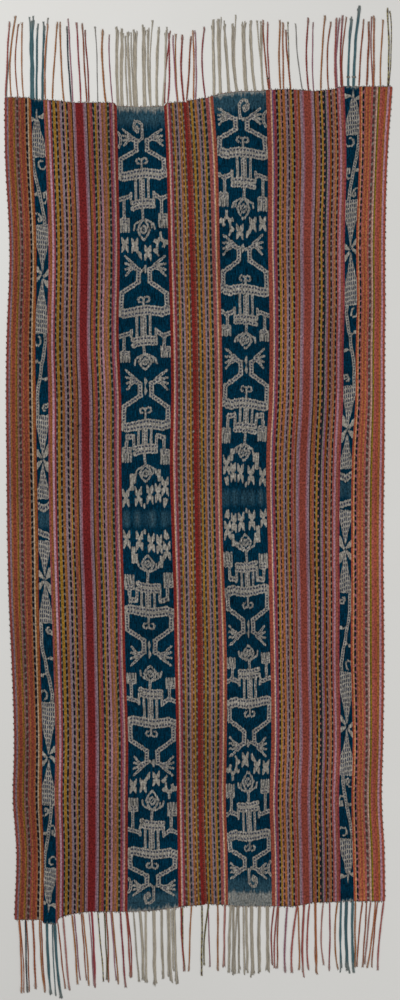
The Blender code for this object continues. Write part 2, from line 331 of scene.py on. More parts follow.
# Standing figures, from the band's middle to the cloth's end
# columns: how far along the hips are, stretch of the legs, stem of the anchor, rise of the shoulders,
# outer palm, seam side palm, depth of a palm, length of the fingers, neck end, stretch of the face, arms
FIGURES = (
    (896, 0.81, 25, 0, -123, -111, 8.5, 27, -118, 1.34, SPREAD_ARMS),
    (540, 1.0, 21, 0, -111, -98, 6.5, 21, -112, 1.0, SPREAD_ARMS),
    (244, 1.0, 29, 15, -66, -71, 8.0, 30, -105, 1.07, SQUARE_ARMS),
)
ANCHOR_STEM = 21
TRUNK_LENGTH = 53
TRUNK_TOP = -13
FOREARMS = (-51, 48)
ELBOWS = (-62, -60)
FOREARM_HALF_WIDTH = 3.7
PALM_OVERLAP = 0.3
STEM_FOOT = (-2, 12)
STEM_HALF_WIDTH = 2.3
NECK_FOOT = (-3, -88)
NECK_HALF_WIDTH = 3.2
OUTER_FINGERS = (-60, -53, -46, -39)
SEAM_FINGERS = (41, 48, 55, 62)
FINGER_HALF_WIDTH = 2.3

# Stars of four lobes round a narrow waist
# columns: middle across, middle along, size across, size along
STARS = (
    (-50, 712, 1.0, 1.0),
    (-24, 710, 1.0, 1.0),
    (10, 691, 1.05, 1.05),
    (50, 84, 1.05, 1.3),
    (-53, 54, 1.0, 1.25),
    (-20, 58, 1.05, 1.35),
    (10, 63, 0.95, 1.3),
    (31, 66, 0.72, 1.3),
)
# A lobe's half widths at its tip and its root, then both places
STAR_LOBE = ((1.6, 5.2), (7.6, 18.5), (4.0, 6.6))
STAR_WAIST = 4.0

# Leaves, knobs and a creature's limbs, which have no ties, placed from the band's middle
LEAVES = (
    ((1.0, 3.6), (-2, 367), (0, 357)),
    ((3.6, 1.2), (0, 357), (-2, 346)),
    ((1.2, 3.6), (-2, 342), (-1, 332)),
    ((3.6, 1.0), (-1, 332), (-2, 321)),
    ((7.0, 2.6), (50, 47), (47, 32)),
    ((3.0, 4.8), (-22, 700), (-12, 688)),
    ((4.8, 2.2), (-12, 688), (-8, 676)),
    (3.0, (44, 744), (45, 728)),
    (4.2, (45, 729), (38, 724)),
    (5.4, (31, 721), (35, 719)),
    (4.0, (45, 728), (52, 721)),
    (6.0, (56, 720), (60, 719)),
    (4.0, (55, 716), (52, 709)),
    (2.6, (35, 716), (35, 702)),
    (5.0, (29, 697), (32, 694)),
    (2.4, (34, 690), (38, 683)),
    (3.5, (-29, 113), (-29, 95)),
    (2.6, (-5, 38), (-5, 30)),
    (4.0, (35, 124), (35, 100)),
    (5.0, (-37, 112), (-37, 78)),
)

# Smaller motifs of a wide band, placed from the band's middle
SMALL_MOTIFS = (
    (3.3, (2, 988), (2, 1024), (-7, 1033), (-16, 1033), (-20, 1021), (-18, 1011), (-11, 1005)),
    (2.7, (-10, 1005), (-8, 1014), (-12, 1019)),
    (3.4, (-15, 984), (-6, 983), (2, 989)),
    (3.4, (-15, 646), (-6, 645), (2, 650)),
    (2.6, (3, 641), (3, 657)),
    (3.5, (-62, 1004), (-56, 994), (-56, 976), (-61, 966)),
)

# The narrow bands: spindles filled with rows of dashes, as outlines of (along, outer side, seam side)
SPINDLES = (
    ((54, -18, 18), (76, -18, 18), (98, -11, 12), (126, -5, 5), (147, 0, 1)),
    ((154, 0, 1), (180, -3, 5), (203, -8, 9), (226, -12, 14), (247, -18, 18), (272, -18, 18)),
    ((484, -18, 18), (531, -18, 18), (555, -16, 13), (578, -11, 8), (608, -5, 3), (628, -1, 0)),
    ((638, 0, 1), (671, -6, 5), (694, -11, 10), (717, -18, 18), (767, -18, 18)),
    ((942, -18, 18), (965, -18, 18), (988, -17, 14), (1012, -15, 6), (1035, -10, 4), (1047, -4, -3)),
)
# The chevron nearest the middle of a narrow band, above the middle and below it
CHEVRON_AT_TOP = (
    (8.5, (-18, 38), (0, 29), (18, 38)),
)
CHEVRON_AT_FOOT = (
    (8.0, (-18, 31), (18, 43)),
)
# Crossed petals, each pair about one place along: half widths at the crossing and at the band's edge
PETALS = (
    ((3.0, 8.0), (-4, 162), (-17, 175)),
    ((3.0, 8.0), (-4, 152), (-17, 141)),
    ((2.5, 11.0), (4, 163), (19, 183)),
    ((2.5, 11.0), (4, 154), (19, 135)),
    ((2.6, 6.5), (-5, 641), (-18, 654)),
    ((2.6, 5.5), (-5, 635), (-18, 624)),
    ((2.8, 7.5), (4, 633), (18, 643)),
    ((2.8, 7.5), (4, 624), (18, 610)),
)
# Vines between the spindles, which have ties, and the plain hooks and buds beside them
VINES = (
    (4.2, (-13, 274), (-12, 298), (-13, 314), (-12, 330), (-10, 346), (-6, 363), (-3, 378), (0, 404),
     (4, 416), (7, 434), (9, 448), (12, 464), (10, 482)),
    (4.2, (13, 758), (8, 768), (7, 786), (4, 805), (0, 826), (-2, 842), (-5, 858), (-8, 872), (-13, 902),
     (-16, 923), (-16, 944)),
)
HOOKS = (
    (2.2, (16, 301), (6, 300), (1, 290), (4, 284), (8, 284)),
    (2.0, (16, 299), (15, 291), (9, 292)),
    (4.5, (11, 366), (12, 366)),
    (1.8, (1, 366), (9, 366)),
    (4.5, (-15, 412), (-14, 412)),
    (1.8, (-12, 411), (-1, 406)),
    (2.2, (-8, 477), (-3, 472), (-2, 459), (-8, 453), (-16, 454), (-18, 463)),
    (2.2, (-17, 797), (-9, 796), (-2, 787), (-1, 779), (-5, 775), (-10, 778), (-9, 785)),
    (2.2, (9, 838), (8, 850), (15, 852), (17, 833), (12, 824), (3, 825)),
    (4.2, (-16, 846), (-13, 846)),
    (1.8, (-12, 846), (-3, 846)),
    (2.2, (8, 933), (3, 933), (-2, 928), (-2, 918), (3, 912), (12, 912), (17, 917)),
    ((6.0, 1.8), (-17, 1042), (-6, 1039)),
    ((8.0, 1.5), (17, 1049), (1, 1047)),
    ((2.4, 1.0), (-3, 1046), (-3, 1067)),
)

# Small dark marks in the weave: x, y, radius, depth
MARKS = (
    (-313, 201, 3.5, 0.9),
    (-295, 206, 3.0, 0.8),
    (-469, 198, 3.0, 0.8),
    (-448, -610, 2.5, 0.5),
    (262, -318, 2.5, 0.5),
    (388, 612, 2.5, 0.5),
)
MARK_SOFTNESS = 1.5

# The fringes, strand by strand from left to right
# columns: root across, sideways bow at half its length, tip across, reach along, width, yarn
TOP_LEFT_STRANDS = (
    (-502, 0, -492, 1252, 4.0, "rose"),
    (-499, -4, -476, 1265, 2.2, "grey"),
    (-487, -8, -475, 1268, 3.4, "ochre"),
    (-469, -7, -469, 1246, 3.0, "rust"),
    (-455, -4, -457, 1250, 3.2, "ochre"),
    (-432, 0, -434, 1264, 13.0, "faded indigo"),
    (-421, -1, -418, 1246, 5.5, "faded indigo"),
    (-406, -1, -401, 1250, 5.5, "faded indigo"),
    (-404, 2, -393, 1262, 2.4, "grey"),
    (-398, -4, -392, 1247, 3.6, "orange"),
    (-380, -2, -366, 1251, 3.6, "ochre"),
    (-350, -3, -359, 1252, 4.0, "ochre"),
    (-331, -1, -343, 1240, 3.6, "slate"),
    (-327, 1, -340, 1260, 3.2, "mauve"),
    (-306, 1, -318, 1250, 3.8, "crimson"),
    (-290, -1, -302, 1248, 3.6, "rust"),
    (-285, 2, -296, 1230, 3.4, "red"),
    (-262, 1, -268, 1240, 2.2, "grey"),
    (-241, -4, -250, 1232, 4.6, "ochre"),
    (-223, -3, -232, 1218, 2.8, "mauve"),
    (-209, -2, -212, 1236, 8.0, "undyed"),
    (-199, -2, -198, 1232, 10.0, "undyed"),
    (-184, -2, -190, 1216, 3.6, "undyed"),
    (-176, -1, -184, 1230, 6.4, "undyed"),
    (-168, -1, -176, 1224, 3.0, "undyed"),
    (-162, -3, -164, 1228, 12.0, "undyed"),
    (-140, -1, -142, 1241, 11.0, "undyed"),
    (-124, -3, -131, 1234, 6.0, "undyed"),
    (-123, -4, -120, 1256, 2.6, "undyed"),
    (-108, -3, -103, 1236, 7.6, "undyed"),
    (-93, 2, -84, 1234, 6.0, "undyed"),
    (-88, -4, -73, 1228, 3.0, "red"),
    (-80, 4, -79, 1222, 4.0, "crimson"),
    (-55, -2, -66, 1217, 3.2, "mauve"),
    (-53, -4, -58, 1220, 3.2, "ochre"),
    (-38, -5, -42, 1218, 4.6, "red"),
)
TOP_RIGHT_STRANDS = (
    (-31, 1, -20, 1214, 4.0, "rust"),
    (-13, 1, -14, 1230, 3.6, "orange"),
    (-8, 3, -10, 1229, 3.4, "mauve"),
    (18, -7, 15, 1238, 3.6, "crimson"),
    (40, 1, 36, 1255, 8.0, "undyed"),
    (57, 0, 50, 1258, 8.4, "undyed"),
    (58, -1, 58, 1264, 2.6, "undyed"),
    (79, 0, 67, 1252, 8.0, "undyed"),
    (100, -5, 90, 1250, 8.4, "undyed"),
    (101, -6, 98, 1270, 2.8, "undyed"),
    (124, -3, 118, 1254, 11.0, "undyed"),
    (147, -4, 136, 1252, 7.6, "undyed"),
    (167, 1, 151, 1255, 3.0, "undyed"),
    (168, -3, 164, 1250, 5.6, "undyed"),
    (183, -3, 168, 1256, 3.6, "rust"),
    (186, -2, 179, 1251, 3.6, "rose"),
    (213, -3, 212, 1256, 4.0, "ochre"),
    (221, -1, 220, 1250, 3.8, "orange"),
    (238, -1, 233, 1252, 2.2, "straw"),
    (240, -1, 226, 1230, 3.8, "rust"),
    (270, -3, 252, 1246, 2.6, "grey"),
    (286, -5, 285, 1262, 3.8, "red"),
    (299, -3, 299, 1250, 2.8, "mauve"),
    (318, -3, 330, 1268, 3.8, "ochre"),
    (338, -6, 344, 1252, 3.4, "rust"),
    (357, -3, 359, 1262, 4.6, "rose"),
    (361, -6, 368, 1262, 3.6, "mauve"),
    (371, -3, 374, 1268, 4.2, "crimson"),
    (375, -6, 385, 1264, 3.0, "rust"),
    (389, -2, 397, 1262, 6.0, "faded indigo"),
    (403, -3, 418, 1290, 8.0, "faded indigo"),
    (417, -1, 429, 1258, 3.6, "rust"),
    (437, 1, 443, 1252, 4.6, "rust"),
    (453, -2, 449, 1266, 3.0, "rose"),
    (455, 1, 455, 1268, 4.4, "orange"),
    (473, -3, 481, 1257, 3.4, "ochre"),
    (492, 3, 491, 1288, 3.6, "straw"),
    (494, 5, 498, 1280, 2.4, "straw"),
)
FOOT_LEFT_STRANDS = (
    (-467, 3, -461, 1273, 4.0, "orange"),
    (-465, 3, -454, 1272, 2.4, "rust"),
    (-450, 0, -446, 1272, 3.6, "slate"),
    (-448, 2, -441, 1270, 3.0, "rust"),
    (-431, 1, -424, 1262, 4.6, "rust"),
    (-413, -3, -400, 1272, 3.6, "ochre"),
    (-409, -1, -399, 1270, 3.0, "rust"),
    (-394, -2, -384, 1275, 7.0, "faded indigo"),
    (-380, -1, -372, 1280, 2.8, "faded indigo"),
    (-375, -3, -357, 1286, 5.0, "faded indigo"),
    (-371, -2, -359, 1270, 3.0, "faded indigo"),
    (-366, 0, -347, 1262, 3.2, "rust"),
    (-352, -1, -335, 1266, 4.6, "pink"),
    (-329, 1, -314, 1250, 4.0, "ochre"),
    (-323, 0, -308, 1239, 3.2, "mauve"),
    (-305, 0, -291, 1240, 3.0, "rust"),
    (-301, 1, -284, 1254, 3.6, "ochre"),
    (-285, 1, -272, 1255, 2.6, "mauve"),
    (-278, 2, -270, 1262, 6.0, "crimson"),
    (-262, 0, -246, 1243, 3.0, "straw"),
    (-245, 1, -238, 1238, 3.0, "olive"),
    (-241, 3, -235, 1245, 3.6, "rust"),
    (-228, 0, -214, 1240, 2.8, "mauve"),
    (-225, 1, -209, 1250, 3.6, "ochre"),
    (-203, -1, -189, 1258, 4.4, "crimson"),
    (-188, 2, -178, 1233, 4.0, "brick"),
    (-185, 3, -173, 1232, 3.0, "red"),
    (-169, 0, -155, 1243, 3.8, "undyed"),
    (-152, 2, -143, 1246, 7.6, "undyed"),
    (-137, -1, -135, 1243, 6.6, "undyed"),
    (-116, 0, -113, 1252, 10.4, "undyed"),
    (-96, -1, -92, 1234, 7.2, "undyed"),
    (-80, 1, -78, 1230, 5.4, "undyed"),
    (-76, -1, -71, 1243, 5.0, "undyed"),
    (-69, -1, -64, 1216, 4.0, "undyed"),
    (-63, -1, -56, 1246, 7.0, "undyed"),
    (-45, -2, -37, 1216, 4.0, "red"),
    (-41, -2, -36, 1212, 2.8, "straw"),
    (-18, -1, -25, 1216, 3.4, "ochre"),
    (9, 1, 7, 1228, 4.0, "straw"),
)
FOOT_RIGHT_STRANDS = (
    (24, 1, 29, 1204, 2.8, "mauve"),
    (27, -4, 14, 1200, 3.4, "olive"),
    (50, 1, 49, 1215, 4.0, "ochre"),
    (69, 0, 66, 1214, 6.0, "pink"),
    (84, -1, 79, 1226, 6.6, "undyed"),
    (91, 0, 90, 1226, 6.6, "undyed"),
    (101, -2, 95, 1222, 3.4, "undyed"),
    (104, 0, 106, 1220, 5.6, "undyed"),
    (117, 0, 119, 1225, 4.0, "undyed"),
    (124, 0, 127, 1218, 6.6, "undyed"),
    (138, -1, 141, 1230, 9.6, "undyed"),
    (159, -2, 159, 1220, 9.2, "undyed"),
    (179, 0, 180, 1222, 9.6, "undyed"),
    (197, -5, 192, 1200, 3.4, "red"),
    (206, -3, 197, 1208, 3.6, "rose"),
    (208, -1, 205, 1209, 3.4, "rust"),
    (231, -3, 225, 1220, 4.6, "mauve"),
    (257, -5, 242, 1220, 4.6, "rose"),
    (259, 1, 262, 1213, 3.6, "ochre"),
    (275, -3, 272, 1232, 5.4, "rose"),
    (289, -5, 286, 1213, 4.0, "rose brick"),
    (304, -1, 307, 1222, 7.0, "orange"),
    (325, -6, 325, 1200, 3.4, "pink"),
    (341, 1, 340, 1215, 3.4, "crimson"),
    (362, -8, 363, 1212, 3.6, "ochre"),
    (371, -2, 371, 1218, 6.0, "faded indigo"),
    (385, -3, 388, 1220, 10.0, "faded indigo"),
    (401, -3, 404, 1217, 7.0, "faded indigo"),
    (408, -1, 408, 1206, 4.0, "ochre"),
    (427, -3, 413, 1204, 3.4, "rust"),
    (437, 1, 426, 1206, 3.4, "rust"),
    (448, -1, 433, 1198, 3.6, "pink"),
    (460, 3, 438, 1207, 3.6, "orange"),
    (466, -2, 451, 1206, 3.2, "rust"),
    (482, -3, 466, 1213, 4.0, "rose"),
)
STRANDS = {"top_left": TOP_LEFT_STRANDS, "top_right": TOP_RIGHT_STRANDS,
           "foot_left": FOOT_LEFT_STRANDS, "foot_right": FOOT_RIGHT_STRANDS}
# Pale thread wound round strands of the top right fringe: middle across, along, width
WINDINGS = ((389, 1108, 8.0), (404, 1108, 10.0), (181, 1105, 8.0))
WINDING_PITCH = 1.1
WINDING_HEIGHT = 3.0
WINDING_RADIUS = 0.65

# Thin strands are one cord of two plies. Wide ones are several loose yarns side by side
STRAND_INSET = 1.0
STRAND_RINGS = 100
STRAND_SIDES = 8
STRAND_WANDER = 0.9
STRAND_TONE = 0.95
BUNDLE_FROM = 5.0
BUNDLED_YARN = 2.2
CORD_LOBES = 0.1
CORD_FLATTENED = 0.72
CORD_TURN_IN_WIDTHS = 4.2
BUNDLE_LOBES = 0.05
BUNDLE_FLATTENED = 0.85
BUNDLE_TURN_IN_WIDTHS = 16.0
BUNDLE_FAN = 0.35
BUNDLE_WANDER = 0.07
BUNDLE_PACKING = 0.8
# How thick a strand is where it leaves the cloth, as a share, and how long it takes to reach its width
BUNDLE_ROOT_SHARE = 0.6
CORD_ROOT_SHARE = 0.42
ROOT_LENGTH = 7.0
# A hand-twisted strand swells a little at its tip, tapers after it and is uneven along its way
SPUN_SHARE = 0.94
TIP_SWELLING = 0.22
TIP_TAPER = 0.5
UNEVEN_SHARE = 0.09
UNEVEN_LENGTH = 9.0
TIP_WEAR = 0.42

# Loose yarns at each tip, and the cut ends of warp that stand out of the cloth's edge between strands
LOOSE_YARNS = 5
LOOSE_RINGS = 6
LOOSE_LENGTH = 14.0
YARN_RADIUS = 0.6
CUT_END_PITCH = 4.5
CUT_END_LENGTH = 5.0
PICK_RINGS = 240

# The weft where it turns round the outer selvedges, and the sewing of the seam
LOOP_PITCH = 16.0
LOOP_REACH = 2.4
LOOP_LENGTH = 5.0
LOOP_RADIUS = 0.95
STITCH_PITCH = 5.2
STITCH_HALF_SPAN = 2.6
STITCH_SLANT = 1.6
STITCH_RADIUS = 0.6
ARCH_RINGS = 9
SEAM = (-1038.0, 1040.0)
STRAY_STITCH = ((-12.5, 184), (-12.0, 188), (-11.2, 192))
STRAY_RADIUS = 0.8

# The photograph: how much floor it takes in, its middle, and how high the camera stands
PICTURE_HEIGHT = 2600.0
PICTURE_MIDDLE = (3.9, 8.6)
CAMERA_HEIGHT = 8000.0
SENSOR = 36.0

# The studio, in metres and watts
# columns of the lights: name, place, size, power
FLOOR_HALF = 6
FLOOR_HEIGHT = -0.0002
LIGHTS = (
    ("key", (-2.2, 2.4, 3.6), 2.4, 137.0),
    ("fill", (2.6, -2.0, 3.4), 2.8, 78.0),
)
AIR_STRENGTH = 0.27

# Repeats of the weave in metres. Yarns take turns every 17.5 mm, as the photo's dashes do. Warp threads are
# really 0.8 mm apart and are drawn twice as coarse, so that they show
DASH_PERIOD = 0.0175
WARP_PITCH = 0.0016
WEFT_PITCH = 0.0032

# Where a panel lies on the square picture that the export bakes, as shares of it
BAKE_EDGE = 0.004
BAKE_SECOND_HALF = 0.508
BAKE_FACE_WIDE = 0.488
BAKE_FACE_LOW = 0.074
BAKE_FACE_TALL = 0.92
BAKE_UNDER_TALL = 0.046
BAKE_RIBBONS = (0.004, 0.254, 0.504, 0.754)
BAKE_RIBBON_LONG = 0.24
BAKE_RIBBON_HEIGHTS = (0.055, 0.069)
BAKE_TUBES_EDGE = 0.002
# A tube's cell of the picture: its wall's left edge, width, foot and height, then its caps' middle and
# half width across, the heights of their middles with the way round that each goes, and half height
CELL_WALL = (0.01, 0.93, 0.06, 0.88)
CELL_CAP_ACROSS = (0.97, 0.02)
CELL_CAPS = ((0.3, 1), (0.7, -1))
CELL_CAP_HALF_TALL = 0.15

# Settings of nodes that the materials use often
TIMES = {"operation": "MULTIPLY"}
SCALED = {"operation": "MULTIPLY_ADD"}
EASED = {"interpolation_type": "SMOOTHSTEP"}
COLOURED = {"data_type": "RGBA", "out": 2}


def linear(name_or_hex):
    """The linear colour of a yarn, or of an sRGB colour written as six hex digits."""
    digits = YARNS.get(name_or_hex, name_or_hex)
    shares = np.array([int(digits[at:at + 2], 16) for at in (0, 2, 4)]) / 255
    dark = shares / 12.92
    light = ((shares + 0.055) / 1.055) ** 2.4
    return tuple(np.where(shares <= 0.04045, dark, light).tolist()) + (1.0,)


def shades(yarn, brightness):
    """One colour for each tube: the yarn's own, made brighter or darker."""
    colours = np.tile(linear(yarn), (len(brightness), 1))
    colours[:, :3] *= brightness[:, None]
    return colours[:, None, None]


def points_of(*axes):
    """Places from arrays of their coordinates, which may have different shapes."""
    return np.stack(np.broadcast_arrays(*axes), axis=-1)


def smooth_curve(at, places, values):
    """A cubic through the values, whose slope at each place is that of the chords beside it."""
    slopes = np.gradient(values, places)
    span = np.clip(np.searchsorted(places, at) - 1, 0, len(places) - 2)
    length = places[span + 1] - places[span]
    t = np.clip((at - places[span]) / length, 0.0, 1.0)
    start = (1 + 2 * t) * (1 - t) ** 2 * values[span] + t * (1 - t) ** 2 * length * slopes[span]
    finish = t * t * (3 - 2 * t) * values[span + 1] + t * t * (t - 1) * length * slopes[span + 1]
    return start + finish


def smooth_step(value, low, high):
    """0 below low and 1 above high, with a cubic between."""
    t = np.clip((value - low) / (high - low), 0.0, 1.0)
    return t * t * (3 - 2 * t)


def end_line(panel, end, across):
    """How far along the weaving of a panel stops, at places across from its outer selvedge."""
    table = np.array(panel["ends"], dtype=float)
    return np.interp(across, table[:, 0], table[:, END_COLUMN[end]])


def place_across(panel, across, along):
    """Where warp threads lie across the floor, at places along the cloth.

    Each thread keeps its share of the way between the two charted warp threads beside it. The seam
    side of each panel keeps half of the clearance between the two.
    """
    lines = np.array(panel["lines"], dtype=float)
    loom = np.array(panel["loom"], dtype=float)
    lines[:, -1] += panel["outer side"] * CLEARANCE / 2
    charted = np.stack([smooth_curve(along, lines[:, 0], line) for line in lines[:, 1:].T])
    before = np.clip(np.searchsorted(loom, across, side="right") - 1, 0, len(loom) - 2)
    share = (across - loom[before]) / (loom[before + 1] - loom[before])
    before = np.broadcast_to(before, along.shape)[None]
    outer = np.take_along_axis(charted, before, axis=0)[0]
    inner = np.take_along_axis(charted, before + 1, axis=0)[0]
    return outer + (inner - outer) * share


def cockle_height(x, y):
    """The lift of the cloth off the floor: round bumps, each a product of two raised cosines."""
    lift = np.zeros_like(x)
    for middle_x, middle_y, half_across, half_along, height in COCKLES:
        u = np.clip(np.abs(x - middle_x) / half_across, 0.0, 1.0)
        v = np.clip(np.abs(y - middle_y) / half_along, 0.0, 1.0)
        bump = height * (0.5 + 0.5 * np.cos(np.pi * u)) * (0.5 + 0.5 * np.cos(np.pi * v))
        lift = np.maximum(lift, bump)
    return lift


def stroke_field(x, s, strokes):
    """How far inside a drawing each place lies, how many ties on, and how near a stroke's middle.

    A stroke's field is its half width at the nearest place of its line, less the distance to it, where
    the distance past a stroke's end counts so that the end is nearly square. The drawing's field is the
    largest of its strokes' fields, in millimetres and negative outside. Ties are counted along the stroke
    that gave it. The nearness is 1 on that stroke's line and 0 at its edge.
    """
    inside = np.full(x.shape, -FAR)
    ties = np.zeros(x.shape)
    middle = np.zeros(x.shape)
    for half_width, *points in strokes:
        widths = np.linspace(*np.broadcast_to(half_width, 2), len(points))
        done = 0.0
        for first, last, wide, narrow in zip(points, points[1:], widths, widths[1:]):
            dx, ds = last[0] - first[0], last[1] - first[1]
            length = np.hypot(dx, ds)
            reach = ((x - first[0]) * dx + (s - first[1]) * ds) / length
            aside = ((x - first[0]) * ds - (s - first[1]) * dx) / length
            t = np.clip(reach / length, 0.0, 1.0)
            away = (aside ** 4 + (reach - t * length) ** 4) ** 0.25
            half = wide + (narrow - wide) * t
            steps = np.hypot(dx / TIE_ACROSS, ds / TIE_ALONG)
            deeper = half - away > inside
            ties = np.where(deeper, done + t * steps, ties)
            middle = np.where(deeper, 1 - away / half, middle)
            inside = np.maximum(inside, half - away)
            done += steps
    return inside, ties, middle


def spindle_field(x, s):
    """How far inside a spindle each place lies: the least distance to its sides and its two ends."""
    inside = np.full(x.shape, -FAR)
    for rows in SPINDLES:
        along, outer, seam = np.array(rows, dtype=float).T
        sides = np.minimum(x - np.interp(s, along, outer), np.interp(s, along, seam) - x)
        ends = np.minimum(s - along[0], along[-1] - s)
        inside = np.maximum(inside, np.minimum(sides, ends))
    return inside


def hand(arm, elbow, palm, palm_depth, fingers, finger_length):
    """A forearm, a palm as wide as its fingers and two rows of ties deep, and the fingers."""
    row = palm_depth / 2 + PALM_OVERLAP
    inset = row - FINGER_HALF_WIDTH
    strokes = [(FOREARM_HALF_WIDTH, (arm, elbow), (arm, palm))]
    strokes += [(row, (fingers[0] + inset, at), (fingers[-1] - inset, at))
                for at in (palm + palm_depth / 2, palm - palm_depth / 2)]
    strokes += [(FINGER_HALF_WIDTH, (finger, palm), (finger, palm - finger_length)) for finger in fingers]
    return strokes


def standing_figure(hips, legs, stem, rise, outer_palm, seam_palm, palm_depth, fingers, neck, face, arms):
    """The strokes of one standing figure: each part stretched along the band about its own pivot, shifted,
    and set on the figure's place."""
    outer_hand = hand(FOREARMS[0], ELBOWS[0] + rise, outer_palm, palm_depth, OUTER_FINGERS, fingers)
    seam_hand = hand(FOREARMS[1], ELBOWS[1] + rise, seam_palm, palm_depth, SEAM_FINGERS, fingers)
    stem_line = [(STEM_HALF_WIDTH, STEM_FOOT, (STEM_FOOT[0], STEM_FOOT[1] + stem))]
    neck_line = [(NECK_HALF_WIDTH, (NECK_FOOT[0], NECK_FOOT[1] + rise), (-1, neck))]
    parts = ((LEGS, legs, 0.0, 0.0), (HIPS, 1.0, 0.0, 0.0), (stem_line, 1.0, 0.0, 0.0),
             (ANCHOR, 1.0, 0.0, stem - ANCHOR_STEM),
             (TRUNK, (TRUNK_LENGTH - rise) / TRUNK_LENGTH, TRUNK_TOP, 0.0),
             (SHOULDERS, 1.0, 0.0, rise), (arms, 1.0, 0.0, rise), (outer_hand, 1.0, 0.0, 0.0),
             (seam_hand, 1.0, 0.0, 0.0), (neck_line, 1.0, 0.0, 0.0), (FACE, face, 0.0, neck),
             (HORNS, 1.0, 0.0, neck))
    return [(width, *[(x, hips + shift + pivot + (s - pivot) * stretch) for x, s in points])
            for strokes, stretch, pivot, shift in parts for width, *points in strokes]


def star(middle_x, middle_s, size_across, size_along):
    """Four swallow-tail lobes that meet in the middle, and its waist."""
    widths, *places = STAR_LOBE
    lobes = [(widths, *[(middle_x + x_side * x * size_across, middle_s + s_side * s * size_along)
                        for x, s in places])
             for x_side in (-1, 1) for s_side in (-1, 1)]
    return lobes + [(STAR_WAIST, (middle_x, middle_s - STAR_WAIST), (middle_x, middle_s + STAR_WAIST))]


def both_fields(x, s, tied, plain):
    """The fields of tied strokes and plain ones together. No tie shows on a plain one."""
    drawing, ties, middle = stroke_field(x, s, tied)
    bare = stroke_field(x, s, plain)[0]
    return np.maximum(drawing, bare), ties, np.where(bare > drawing, 0.0, middle)


def wide_band_fields(x, s):
    """Figures and smaller motifs with ties, leaves and stars without, and no spindles."""
    tied = list(SMALL_MOTIFS) + [stroke for row in FIGURES for stroke in standing_figure(*row)]
    plain = list(LEAVES) + [stroke for row in STARS for stroke in star(*row)]
    return *both_fields(x, s, tied, plain), np.full(x.shape, -FAR)


def narrow_band_fields(x, s, above):
    """Chevrons and vines with ties, petals and hooks without, and the spindles."""
    top = both_fields(x, s, CHEVRON_AT_TOP + VINES, PETALS + HOOKS)
    foot = both_fields(x, s, CHEVRON_AT_FOOT + VINES, PETALS + HOOKS)
    return *np.where(above, top, foot), spindle_field(x, s)


def depth_of_dye(row, panel, edges, y, s, random):
    """1 in full indigo and 0 in undyed cotton: faded towards the cloth's ends, clouded at the middle."""
    is_wide = row[1] == "wide"
    ragged = random.normal(0.0, 3.0, edges.shape)
    from_top = end_line(panel, "top", edges) - y + ragged
    from_foot = y - end_line(panel, "foot", edges) + ragged
    dye = np.ones(y.shape)
    for distance, (bare, fade) in ((from_top, row[8:10]), (from_foot, row[10:12])):
        dyed = smooth_step(distance, bare, bare + fade)
        deep = smooth_step(distance, bare + THIN_DYE[0], bare + THIN_DYE[1]) if is_wide else dyed
        dye = np.minimum(dye, (dyed + deep) / 2)
    spread = len(CLOUD_SMOOTHING) - 1
    clouds = np.convolve(random.normal(0.0, 1.0, len(edges) + spread), CLOUD_SMOOTHING, "valid")
    clouded = np.clip(CLOUD_MIDDLE + CLOUD_SPREAD * clouds, 0.0, 1.0)
    return dye * (1 - CLOUD_DEPTH * np.exp(-(s / CLOUD_REACH) ** 4) * clouded)


def band_fields(row, panel, edges, y):
    """Drawing, its ties, their middles, spindles and depth of dye for the columns of one ikat band.

    The chart is read at the distance from the band's middle. Every warp column slips a little along the
    cloth, as tied warps do, which gives the drawing its feathered edges.
    """
    side, band, _, _, middle, half, grow_top, grow_foot = row[:8]
    random = np.random.default_rng(SEED + len(side + band))
    away = np.abs(y - middle) + random.normal(0.0, WARP_SLIP, edges.shape)
    s = away * (1 + np.where(y > middle, grow_top, grow_foot) * away)
    x = np.broadcast_to((edges - edges.mean()) / (edges[-1] - edges[0]) * 2 * half, y.shape)
    drawn = wide_band_fields(x, s) if band == "wide" else narrow_band_fields(x, s, y > middle)
    return *drawn, depth_of_dye(row, panel, edges, y, s, random)


def stripe_columns(stripes, start, stop, tone):
    """One column for each stripe, its width scaled to the room between two charted threads.

    Where two yarns take turns, each stripe starts at its own place in the turn.
    """
    widths = [row[0] for row in stripes]
    edges = start + (stop - start) * np.cumsum([0.0] + widths) / sum(widths)
    first, second = [np.array([linear(row[at]) for row in stripes]) * tone for at in (1, -1)]
    return edges, first, second, np.arange(len(stripes)) * TURN_SHIFT % 1.0, np.zeros(len(stripes))


def band_columns(start, stop, count):
    """Columns of an ikat band."""
    ground = np.tile(linear("indigo"), (count, 1))
    return np.linspace(start, stop, count + 1), ground, ground, np.zeros(count), np.ones(count)


def panel_layout(panel):
    """All columns of a panel: their edges on the loom, two yarns, phase and whether they are ikat."""
    counts = {row[2]: row[3] for row in IKAT_BANDS if row[0] == panel["side"]}
    made = []
    for group, stripes, tone in zip((OUTER, NARROW, MIDDLE, WIDE, INNER), panel["stripes"], panel["tones"]):
        start, stop = [panel["loom"][place] for place in group]
        made.append(band_columns(start, stop, counts[group]) if group in counts
                    else stripe_columns(stripes, start, stop, tone))
    edges, *others = zip(*made)
    return np.concatenate([[0.0]] + [each[1:] for each in edges]), *map(np.concatenate, others)


def set_in_scene(name, contents, place=(0.0, 0.0, 0.0)):
    """A new object in the scene."""
    made = bpy.data.objects.new(name, contents)
    made.location = place
    bpy.context.scene.collection.objects.link(made)
    return made


